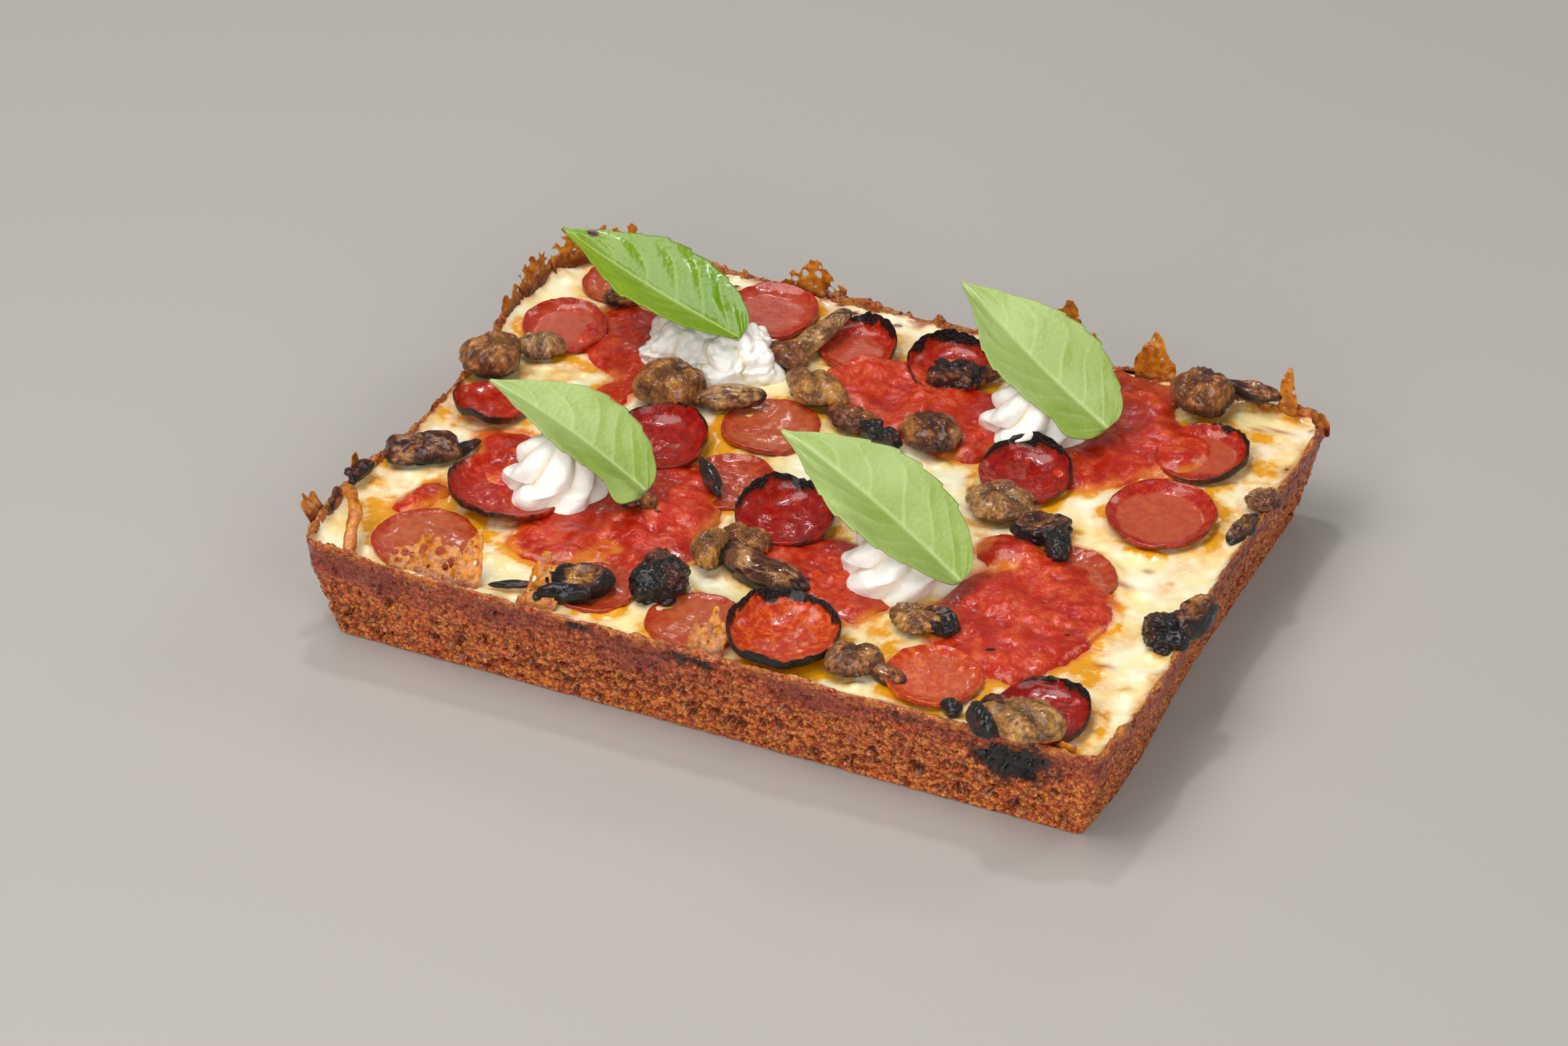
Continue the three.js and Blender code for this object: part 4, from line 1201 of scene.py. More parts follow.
SPOONFULS = rows_of(Mound, (
    ((-90, 55, 12, 9, 20, 2.4), (-84, 42, 12, 13, -20, 2.8), (-93, 45, 8, 9, 0, 2.2),
     (-77, 34, 7, 6, 0, 1.8), (-77, 18, 6, 8, -20, 0.3)),
    ((-13, 52, 11, 12, 0, 5.4), (0, 48, 15, 14, 0, 3.0), (15, 46, 14, 12, 0, 2.8),
     (29, 43, 13, 11, 0, 2.6), (23, 57, 14, 8, 0, 2.6), (1, 36, 10, 6, 0, 2.0),
     (25, 34, 9, 6, 0, 2.2), (-5, 62, 8, 6, 0, 2.4)),
    ((67, 74, 12, 12, 30, 3.6), (78, 60, 15, 11, -15, 3.2), (87, 57, 10, 11, 0, 3.6),
     (69, 47, 14, 13, 40, 2.8), (64, 36, 9, 8, 0, 2.4), (57, 62, 8, 9, 0, 2.2)),
    ((-93, -19, 11, 9, 0, 2.6), (-86, -31, 12, 10, 0, 2.4), (-70, -20, 15, 13, 0, 2.8),
     (-52, -20, 14, 12, 0, 3.2), (-37, -17, 12, 11, 0, 3.8), (-33, -29, 13, 11, 0, 3.2),
     (-60, -42, 16, 13, 0, 2.8), (-42, -41, 16, 12, 0, 3.0), (-30, -47, 11, 8, 0, 2.6),
     (-59, -57, 14, 11, 0, 2.8), (-35, -58, 9, 6, 0, 2.0), (-103.5, -54, 5, 10, -15, 0.2)),
    ((0, -37, 15, 10, 0, 2.6), (12, -44, 17, 11, 0, 2.8), (28, -48, 13, 10, 0, 2.6),
     (16, -31, 15, 9, 0, 2.6), (28, -58, 6, 4, 0, 1.8)),
    ((62, -9, 11, 8, 0, 4.6), (78, -18, 13, 12, 0, 3.0), (88, -29, 12, 14, 0, 3.2),
     (70, -32, 17, 14, 0, 3.4), (85, -46, 13, 13, 0, 3.2), (66, -49, 16, 11, 0, 3.2),
     (72, -62, 12, 9, 0, 3.4), (84, -58, 8, 7, 0, 2.6)),
))


class Form(Enum):
    """The kinds of mushroom piece."""

    CAP = "cap"
    SLICE = "slice"
    STEM = "stem"
    LUMP = "lump"


CAP, SLICE, STEM, LUMP = Form

LEATHER: dict[Form, tuple[tuple[float, ...], float]] = {
    CAP: ((0.7, 0.7, 0.7), 0.62),
    SLICE: ((0.4, 1.0, 0.8), 1.1),
    STEM: ((0.14, 1.1, 1.1), 1.0),
    LUMP: ((1.0, 1.0, 1.0), 1.9),
}


@dataclass(frozen=True)
class Lobe:
    """One rounded part of a mushroom: place, size, turn, form, tones and tilt.

    cut is the share of the half length where a flat cut face ends the lobe, 0 for none.
    """

    x: float
    y: float
    up: float
    long: float
    wide: float
    high: float
    turn: float
    form: Form
    gold: float = 0.2
    char: float = 0.1
    pale: float = 0.0
    cut: float = 0.0
    tilt: float = 0.0


MUSHROOMS = rows_of(Lobe, (
    ((-59, 20, 5.6, 23, 18, 17, -8, CAP, 0.5, 0.12, 0.0, 0.72),
     (-42.5, 24.6, 4.4, 23, 7.5, 6, 26, STEM, 0.3, 0.1, 0.8, 0.0, 3)),
    ((-20.5, 39, 4.6, 19, 13, 11, -16, CAP, 1.0, 0.14),),
    ((-31.5, 64.5, 5, 26, 7.5, 5.5, 70, STEM, 0.3, 0.1, 0.9, 0.0, 10),
     (-36, 53, 3.5, 14, 10, 8, -20, CAP, 0.1, 0.25)),
    ((-4.5, 30.5, 3.2, 18, 10, 7, -17, CAP, 0.15, 0.25),
     (5, 26.5, 4.2, 14, 6, 6, -20, LUMP, 0.0, 1.0)),
    ((19, 32.5, 4.4, 20, 15, 11, -25, CAP, 0.45, 0.3),),
    ((13, 63.5, 4.0, 17, 11, 9, 10, LUMP, 0.1, 0.7),
     (21, 69, 4, 13, 4.5, 4.5, 50, STEM, 0.0, 0.6)),
    ((50.5, 9, 3.6, 22, 17.5, 9, 30, CAP, 0.75, 0.08, 0.55),),
    ((66.5, 2.5, 3.8, 18, 11, 9, 40, SLICE, 0.2, 0.4),
     (72.5, -2.5, 3.4, 13, 8, 7, -60, LUMP, 0.4, 0.55)),
    ((84.5, 81.5, 6.2, 21, 16, 15, -20, CAP, 0.2, 0.28, 0.0, 0.7),
     (97.5, 89.0, 6.6, 20, 6, 5.5, 4, STEM, 0.0, 0.4, 0.3)),
    ((118.5, 42, 3.2, 11, 9, 7, 60, CAP, 0.2, 0.2, 0.5),),
    ((118, 27, 2.6, 14, 6.5, 5.5, 80, SLICE, 0.0, 0.35, 0.6),),
    ((117.5, -30.5, 3.4, 13, 15, 9, 20, LUMP, 0.0, 1.0),
     (122.5, -22.5, 5.2, 17, 9, 11, 66, SLICE, 0.45, 0.35, 0.2)),
    ((51.5, -54.0, 3.6, 16, 11, 8, 10, CAP, 0.9, 0.15, 0.3),
     (58.5, -53.0, 3.8, 12, 9, 7.5, -10, SLICE, 0.5, 0.55)),
    ((43.5, -80.0, 3.8, 17, 13, 10, 20, CAP, 0.3, 0.22, 0.3),
     (53.5, -79.5, 2.8, 14, 5.5, 5, -10, STEM, 0.2, 0.2, 0.2, 0.0, -6)),
    ((99.5, -88.5, 6.0, 24, 18, 12, 8, CAP, 1.0, 0.0, 0.35),
     (89.5, -89.5, 5.2, 14, 15, 12, 40, CAP, 0.0, 0.8, 0.0, 0.5)),
    ((-13, -48.5, 4.6, 11, 14, 12, 0, CAP, 1.0, 0.12, 0.0, 0.5),
     (3.0, -49.5, 4.0, 26, 10, 8, -8, STEM, 0.15, 0.3, 0.5, 0.0, -5)),
    ((-7.5, -38.5, 3.8, 17, 11, 9, -10, CAP, 0.4, 0.0),),
    ((-20.5, -68, 4.6, 18, 14, 12, 50, LUMP, 0.0, 0.95),
     (-21, -62, 4.6, 13, 10, 9, -10, LUMP, 0.2, 0.75)),
    ((-42, -78.5, 3.8, 20, 14, 9, 35, SLICE, 0.5, 0.6),
     (-49, -83, 3.4, 10, 5, 5, 70, LUMP, 0.0, 0.9)),
    ((-112, -35.5, 3.4, 25, 13, 10, 32, CAP, 0.15, 0.4, 0.3),),
    ((-113.5, 13, 5.6, 20, 15.5, 15, 20, CAP, 0.45, 0.2, 0.0, 0.7),),
    ((-105.5, 28.0, 3.4, 15, 11, 9, 20, CAP, 0.1, 0.05, 0.9),),
))

SCRAP_RINGS = 26
SCRAP_SIDES = 38
(SCRAPS,) = rows_of(Lobe, ((
    (-30.5, -13.5, 3.6, 21, 4.5, 4.5, -48, STEM, 0.1, 0.7),
    (-43, -33, 4.6, 11, 8, 5, 20, LUMP, 0.2, 0.3),
    (-103.5, -32, 3.0, 17, 3.6, 3.4, 66, STEM, 0.1, 0.6),
    (-58, -84.5, 3.0, 15, 2.6, 2.6, 16, STEM, 0.0, 0.8, 0.0, 0.0, 6),
    (-123, -54, 4.2, 9, 6, 5, 60, LUMP, 0.3, 0.5),
    (77, -86, 2.6, 4.6, 4.6, 4, 0, LUMP, 0.0, 1.0),
    (-96, 62, 3.4, 11, 8, 6, 30, CAP, 0.2, 0.4),
),))


@dataclass(frozen=True)
class Swirl:
    """One piped swirl: place, radius, height, ridges, twist in degrees and lumpiness."""

    x: float
    y: float
    radius: float
    height: float
    ridges: int
    twist: float
    lumps: float = 0.3


DOLLOPS: tuple[tuple[Swirl, ...], ...] = (
    (Swirl(-67.5, 46, 13.5, 13, 5, 30, 1.4), Swirl(-51, 46.5, 14, 13, 5, -40, 1.5)),
    (Swirl(-69.5, -34, 14.8, 19.0, 6, 75),),
    (Swirl(37, -31, 15.8, 19.0, 6, 75),),
    (Swirl(44, 51, 14.8, 18.0, 6, 75),),
)


@dataclass(frozen=True)
class Leaf:
    """One basil leaf: the ends of its midrib, half width, and how its halves rise.

    lobe swells the near half at the stem end, as a fold that hangs over.
    """

    tip: tuple[float, float, float]
    stem: tuple[float, float, float]
    wide: float
    arch: float
    far: float
    near: float
    upper: bool = False
    bruise: tuple[float, float] | None = None
    lobe: float = 0.0

    def underside(self, x: Array, y: Array) -> Array:
        """The lowest height of the blade over a place, or a high value beside the leaf.

        The midrib's height at the nearest place along it, plus the rise of the half blade.
        """
        tip, stem = np.array(self.tip), np.array(self.stem)
        run = stem[:2] - tip[:2]
        length = math.hypot(*run)
        t = ((x - tip[0]) * run[0] + (y - tip[1]) * run[1]) / length**2
        off = ((y - tip[1]) * run[0] - (x - tip[0]) * run[1]) / length
        rise = np.sin(np.radians(np.where(off > 0, self.far, self.near)))
        z = tip[2] + (stem[2] - tip[2]) * t + np.abs(off) * rise * 0.8
        z = z + self.arch * np.sin(math.pi * clipped(t))
        beside = (t < 0) | (t > 1.06) | (np.abs(off) > self.wide)
        return np.where(beside, 99.0, z)


LEAVES: tuple[Leaf, ...] = (
    Leaf((-110.4, 53.6, 60), (-47, 42.4, 44.5), 18.5, -2, 38, 30, True, (0.13, 0.75)),
    Leaf((-94.7, -25.6, 57), (-41.5, -33.2, 38), 17, 2, 36, 34, lobe=0.55),
    Leaf((-6.9, -15.1, 58), (57.5, -35.7, 37), 19, 2, 38, 24),
    Leaf((9.9, 75.8, 60), (66.9, 50.1, 39), 19, -2, 36, 25, lobe=0.35),
)


# -------- cheese
@dataclass
class Cheese:
    """The melted cheese between the rims, drawn up around what lies on it."""

    outline: PanOutline = PAN
    spacing: float = 0.94
    inset: float = 1.35
    bottom: float = 27.5
    oil_width: float = 2.6
    bubble_spacing: float = 9.0
    bubble_height: float = 0.6
    ring_height: float = 0.6
    oil_spots: Rows = (
        (99, -49, 9, 5), (108, -56, 8, 4), (113, -70, 3, 12), (108, 5, 4, 12), (113, 18, 3, 10),
        (103, 38, 10, 4), (95, 41, 12, 3), (113, 62, 4, 12), (72, 8, 4, 9), (-30, 34, 12, 2.5),
        (-85, 29, 12, 3), (-116, -62, 5, 12), (-104, -60, 10, 5), (-68, -66, 9, 2.5), (38, -60, 9, 2.5),
        (28, -57, 8, 2.5), (48, -66, 5, 5), (78, -85, 12, 3), (117, -86, 3, 6), (-12, 80, 10, 3),
        (30, 80, 14, 4), (-38, 5, 4, 9), (108, 76, 9, 5), (92, 73, 9, 4), (101, -36, 4, 8),
        (112, 90, 4, 3), (-110, -68, 5, 7), (-47, -58, 4, 3), (66, -16, 6, 4), (28, 8, 4, 8),
    )
    brown_spots: Rows = (
        (112, 90, 3.0, 2.4), (108, 82, 5, 0.9), (103, 80, 3, 0.8), (-62, 90, 1.6, 1.4),
        (-52, 91, 2, 1.5), (-34, 87, 3.4, 1.6), (-24, 88, 3, 1.4), (118, 64, 2, 3), (100, 0, 2, 1.2),
        (96, -10, 3, 1.5), (-73, 89, 1.4, 1.2), (-41, 90, 1.4, 1.2), (-10, 89, 2.4, 1.2),
        (14, 89, 2.6, 1.4), (103, 62, 3, 1.2), (106, -48, 3, 1.4),
    )
    spills: Rows = ((-88, -91, 5), (-63, -91, 6), (38, -91, 5), (-123, -78, 6))

    def contact(self, x: Array, y: Array) -> tuple[Array, Array]:
        """How near each place is to the edge of a topping, for oil and for the drawn-up ring.

        Returns:
            A mask for oil round pepperoni and mushrooms, and one for the ring that clings to them.
        """
        oil = np.zeros_like(x)
        ring = np.zeros_like(x)
        for disc in DISCS:
            apart = np.hypot(x - disc.x, y - disc.y) - disc.radius
            oil = np.maximum(oil, bell(np.maximum(apart, 0), self.oil_width))
            ring = np.maximum(ring, bell(apart - 0.5, 1.6))
        for lobe in itertools.chain(*MUSHROOMS, SCRAPS):
            body = Mound(lobe.x, lobe.y, lobe.long / 2, lobe.wide / 2, lobe.turn, 0)
            apart = (body.depth(x, y) - 1) * min(lobe.long, lobe.wide) / 2
            ring = np.maximum(ring, bell(apart - 0.4, 1.5))
            oil = np.maximum(oil, 0.5 * bell(np.maximum(apart, 0), 1.6))
        return oil, ring

    def skin(self) -> Skin:
        """A grid from side to side, with a skirt down to a bottom point.

        Height = the slow top + puckers + a few bubbles + the ring round toppings, drawn up to
        the rim by a bell curve of the distance from it. Oil stains the cheese round toppings,
        round the sauce and in the listed spots.
        """
        rows = int(self.outline.width / self.spacing)
        columns = int(self.outline.length / self.spacing)
        v = np.linspace(-1, 1, rows)[:, None] * np.ones((1, columns))
        y = v * (self.outline.width / 2 - self.inset)
        left = -self.outline.reach(y, self.inset, -1)
        right = self.outline.reach(y, self.inset, 1)
        x = left + (right - left) * np.linspace(0, 1, columns)[None, :]
        level = plane(x, y)
        edge = np.maximum(self.outline.edge_distance(x, y) - self.inset, 0)
        oil_ring, ring = self.contact(x, y)
        puckers = 0.36 * fractal(level, 8.0, 5, 4) + 0.14 * fractal(level, 2.4, 6, 3)
        blister, chance = cells(level, self.bubble_spacing, 51, flat=True)
        bubbles = self.bubble_height * dome(blister, 0.3) * (chance > 0.6)
        climb = bell(edge, 2.3 + 0.9 * noise(level, 12.0, 52))
        top_edge = self.outline.rim_top(x, y) - 0.7 + 0.6 * fractal(level, 5.0, 53, 3)
        spill = sum(bell(np.hypot(x - a, y - b), c) for a, b, c in self.spills)
        z = cheese_top(x, y) + puckers + bubbles + self.ring_height * ring
        z = z + (top_edge - z) * climb + 0.9 * spill
        broken = ramp(fractal(level, 7.0, 81, 4), -0.25, 0.45)
        pooled = np.minimum(sum(spot(x, y, *row) for row in self.oil_spots), 1.2)
        fields = [Sauce().field(mounds, 100 * number) for number, mounds in enumerate(SPOONFULS, 1)]
        depth = np.max([inside(x, y) for inside in fields], axis=0)
        oil_ring = np.maximum(1.1 * oil_ring, bell(np.minimum(depth, 0), self.oil_width))
        oil = clipped(oil_ring * (0.25 + 0.75 * broken) + pooled * (0.3 + 0.7 * broken))
        oil = np.maximum(oil, 0.4 * ramp(fractal(level, 16.0, 82, 4), 0.25, 0.8))
        rim_brown = (1 - ramp(edge + 1.1 * fractal(level, 3.5, 83, 3), 0.3, 2.0)) * (1 - spill)
        near_edge = 0.5 * bell(np.maximum(edge - 1.5, 0), 2.4) * ramp(noise(level, 5.0, 84), -0.3, 0.5)
        toasted = sum(spot(x, y, *row) for row in self.brown_spots)
        pits = ramp(y, 82, 88) * (chance > 0.45) * (1 - ramp(blister, 0.1, 0.2))
        sauced = ramp(depth + 0.5 * noise(level, 3.0, 85), -1.4, 0.2)
        masks = {
            "oil": clipped(oil + 0.5 * near_edge),
            "brown": clipped(rim_brown + 0.35 * near_edge + 0.8 * toasted + pits),
            "sauced": 0.75 * sauced,
            "char": clipped(0.5 * pits + 0.35 * rim_brown * ramp(noise(level, 6.0, 86), 0.0, 0.6)),
        }
        return self.closed(stacked(x, y, z), masks)

    def closed(self, top: Array, masks: Masks) -> Skin:
        """Adds the skirt and the bottom to the grid of the top."""
        rows, columns = top.shape[:2]
        number = np.arange(rows * columns).reshape(rows, columns)
        edge = np.concatenate([number[0, :-1], number[:-1, -1], number[-1, :0:-1], number[:0:-1, 0]])
        flat = top.reshape(-1, 3)
        under = flat[edge].copy()
        under[:, :2] *= 0.99
        under[:, 2] = self.bottom
        middle = np.array([[0.0, 0.0, self.bottom]])
        start = len(flat)
        below = start + np.arange(len(edge))
        after = np.roll(np.arange(len(edge)), -1)
        skirt = stacked(edge, below, below[after], edge[after])
        fan = stacked(below, start + len(edge), below[after])
        painted = {
            name: np.concatenate([value.ravel(), value.ravel()[edge], [0.0]])
            for name, value in masks.items()
        }
        points = np.concatenate([flat, under, middle])
        return Skin(points, [grid_quads(rows, columns, False), skirt, fan], painted).outward()

    def build(self) -> None:
        """Makes the cheese piece."""
        self.skin().piece("cheese_layer", CheeseFinish(), "cheese", ["cheese"])


# -------- pepperoni
@dataclass
class Pepperoni:
    """The cup pepperoni: discs whose edges lift, curl and char."""

    thick: float = 1.6
    sides: int = 96
    sunk: float = 0.5
    shrink: float = 0.42
    over: int = 27
    under: int = 5
    shoulder: float = 0.45
    corner: float = 0.045
    clump: float = 2.0
    limits: tuple[float, float] = (-91.2, 90.6)

    def finish(self, look: Look) -> PepperoniFinish:
        """The finish that a disc's look asks for."""
        tones = dict(zip(("red", "bright", "pool"), CURED[look]))
        return PepperoniFinish(name=f"pepperoni_{look.value}", **tones)

    def skin(self, disc: Disc) -> Skin:
        """Rings from the middle of the underside, round the edge and back over the top.

        Lift = (rim + curl * facing) * out^4, facing = (0.5 + 0.5 cos(angle - toward))^1.6, and
        the lifted side is drawn in by a share of its lift. The edge swells into a bead, which
        is thicker and crumbles where it has charred, and a pool of oil levels the cup's floor.
        The pool and patches over the top are painted pale, a painted sheen of reflected light.
        """
        turn = math.pi / 2
        low = stacked(np.linspace(0.1, 0.9, self.under), -self.shoulder)
        bend = np.linspace(-turn, turn, 11)
        edge = stacked(1 - self.corner + self.corner * np.cos(bend), self.shoulder * np.sin(bend))
        high = stacked(np.linspace(0.93, 0.04, self.over), self.shoulder)
        out, up = np.concatenate([low, edge, high]).T
        top = (np.arange(len(out)) > self.under + 4).astype(float)[:, None]
        out, up = out[:, None], up[:, None]
        angle = angles(self.sides)
        facing = (0.5 + 0.5 * np.cos(angle - math.radians(disc.toward))) ** 1.6
        seed = int(disc.x * 7 + disc.y * 3) % 997
        around = stacked(3 * np.cos(angle), 3 * np.sin(angle), seed)
        ragged = 0.04 * fractal(around, 2.0, seed + 1, 3)
        lift = (disc.rim + disc.curl * facing) * out**4 * (1 + 0.22 * noise(around, 1.6, seed + 2))
        radius = out * disc.radius * (1 + ragged * out) - self.shrink * lift
        x = disc.x + radius * np.cos(angle)
        y = np.clip(disc.y + radius * np.sin(angle), *self.limits)
        middle = cheese_top(disc.x, disc.y) + 0.35 + disc.rise
        middle = middle - self.sunk * (disc.look is FLAT)
        place = stacked(x, y, seed)
        burnt = disc.char * clipped(disc.around + (1 - disc.around) * facing * 1.25)
        band = ramp(out, 0.8, 0.95)
        bead = (0.35 + 0.65 * burnt) * band * np.sign(up)
        clumps, tall = cells(place, self.clump, seed + 8)
        crumble = burnt * ramp(out, 0.84, 0.95) * 1.1 * dome(clumps, 0.8) * tall
        crumble = crumble + burnt * band * 0.5 * fractal(place, 1.6, seed + 9, 2)
        wave = 0.55 * fractal(place, 8.0, seed + 6, 2) * (1 - out**2)
        bumps = (0.16 + 0.2 * ramp(out, 0.6, 0.95)) * fractal(place, 2.6, seed + 3, 4)
        z = middle + up * self.thick + lift + bumps + wave + 0.5 * bead + crumble * (up > -0.2)
        # where oil levels the cup's floor, later painted pale as a sheen of reflected light
        floor = middle + self.shoulder * self.thick + 0.28 * (disc.rim + 0.25)
        wet = ramp(floor + 0.15 - z, -0.1, 0.15) * top if disc.pool else np.zeros_like(z)
        z = np.where((wet > 0) & (z < floor), z * 0.12 + floor * 0.88, z)
        reach_down = 0.15 * burnt + 0.02
        broken = 0.1 * fractal(place, 4.0, seed + 5, 4)
        dark_band = ramp(out + broken, 1.0 - 1.35 * reach_down, 1.02 - 0.2 * reach_down) * burnt * 1.2
        outer = (1 - top) * ramp(out, 0.8, 1.0) * burnt
        # painted sheen: pale patches of reflected light over the top
        painted_sheen = disc.painted_sheen * ramp(fractal(place, 9.0, seed + 11, 4), -0.9, 0.5) * (1 - ramp(out, 0.8, 0.97))
        masks = {
            "pool": clipped(np.maximum(wet * disc.pool, painted_sheen * top)),
            "char": clipped(np.maximum(dark_band, outer) + 0.18 * ramp(out, 0.9, 1.0)),
        }
        first = np.array([disc.x, disc.y, middle - self.shoulder * self.thick])
        points = stacked(x, y, z)
        return tube_skin(points, first, points[-1].mean(axis=0), masks)

    def build(self) -> None:
        """Makes one piece for each disc."""
        for number, disc in enumerate(DISCS, 1):
            node = f"pepperoni_{number:02d}"
            self.skin(disc).piece(f"{node}_slice", self.finish(disc.look), "pepperoni", [node])


# -------- sauce
@dataclass
class Sauce:
    """Spoonfuls of coarse tomato sauce, each a group of low mounds with a ragged edge."""

    spacing: float = 0.8
    sink: float = 1.3
    edge_roll: float = 1.3
    ragged: float = 1.5
    smooth_union: float = 2.5
    warp: float = 1.6
    lump: float = 5.0

    def field(self, mounds: Sequence[Mound], seed: int) -> Callable:
        """The distance inside the joined mounds, in millimetres, with a ragged edge.

        The mounds' own distances d join smoothly as k * ln(sum(e^(d / k))).
        """
        def inside(x: Array, y: Array) -> Array:
            """The joined distance at places x and y."""
            total = sum(
                np.exp(np.clip((1 - m.depth(x, y)) * min(m.long, m.wide), -40, 40) / self.smooth_union)
                for m in mounds
            )
            return self.smooth_union * np.log(total) + self.ragged * fractal(plane(x, y), 8.0, seed, 4)

        return inside

    def rise(self, mounds: Sequence[Mound], x: Array, y: Array) -> Array:
        """The height of the highest mound: its rise * (1 - 0.45 * distance^2)."""
        heights = [m.rise * (1 - 0.45 * np.minimum(1, m.depth(x, y)) ** 2) for m in mounds]
        return np.max(heights, axis=0)

    def skin(self, mounds: Sequence[Mound], seed: int) -> Skin:
        """A sheet over the joined mounds: rounded at its edge, lumpy with pulp on top.

        Height = (1 - e^(-depth / roll)) * (mound + pulp), where pulp is a few round chunks and
        folded noise: the distance of noise from zero, which leaves sharp valleys.
        """
        reach = max(max(m.long, m.wide) for m in mounds)
        xs = [m.x for m in mounds]
        ys = [m.y for m in mounds]
        across = np.arange(min(xs) - reach - 4, max(xs) + reach + 4, self.spacing)
        along = np.arange(min(ys) - reach - 4, max(ys) + reach + 4, self.spacing)

        def lay(x: Array, y: Array, depth: Array) -> tuple[Array, Array, Masks]:
            """Heights and masks at places x and y."""
            level = plane(x, y)
            swirl = stacked(noise(level, 5.0, seed + 21), noise(level, 5.0, seed + 22), 0.0)
            warped = level + self.warp * swirl
            roll = 1 - np.exp(-depth / self.edge_roll)
            lumps, number = cells(warped, self.lump, seed + 9, flat=True)
            chunk = dome(lumps, 0.55) * ramp(number, 0.45, 0.9)
            pulpy = ramp(fractal(level, 12.0, seed + 31, 3), -0.35, 0.5)
            folded = np.abs(fractal(warped, 7.0, seed + 3, 3))
            fine = np.abs(fractal(level, 2.0, seed + 5, 3)) * (0.25 + 0.75 * pulpy)
            high = self.rise(mounds, x, y) * (0.8 + 0.4 * fractal(level, 13.0, seed + 7, 2))
            pulp = (0.35 + 0.65 * pulpy) * folded + 0.5 * fine + 1.2 * chunk * pulpy
            z = CHEESE_LEVEL - 0.75 + roll * (high + 0.25 + pulp)
            shallow = 1 - ramp(depth + 1.2 * fractal(level, 4.0, seed + 11, 3), 0.3, 3.4)
            masks = {
                # deep where the sauce is thin, and painted shade where the folded noise leaves valleys
                "thin": clipped((1.0 - 0.75 * pulpy) * (1 - 1.2 * folded) - chunk * pulpy),
                "oil": 0.85 * shallow * ramp(noise(level, 9.0, seed + 15), -0.1, 0.5),
                "char": 0.75 * ramp(number, 0.965, 0.985) * (1 - ramp(lumps, 0.12, 0.3)),
            }
            upper = stacked(x, y, z)
            lower = stacked(x, y, CHEESE_LEVEL - self.sink)
            return upper, lower, masks

        return cut_sheet(across, along, self.field(mounds, seed), lay)

    def build(self) -> None:
        """Makes one piece for each spoonful."""
        for number, mounds in enumerate(SPOONFULS, 1):
            node = f"sauce_{number:02d}"
            self.skin(mounds, 100 * number).piece(f"{node}_spoonful", SauceFinish(), "sauce", [node])


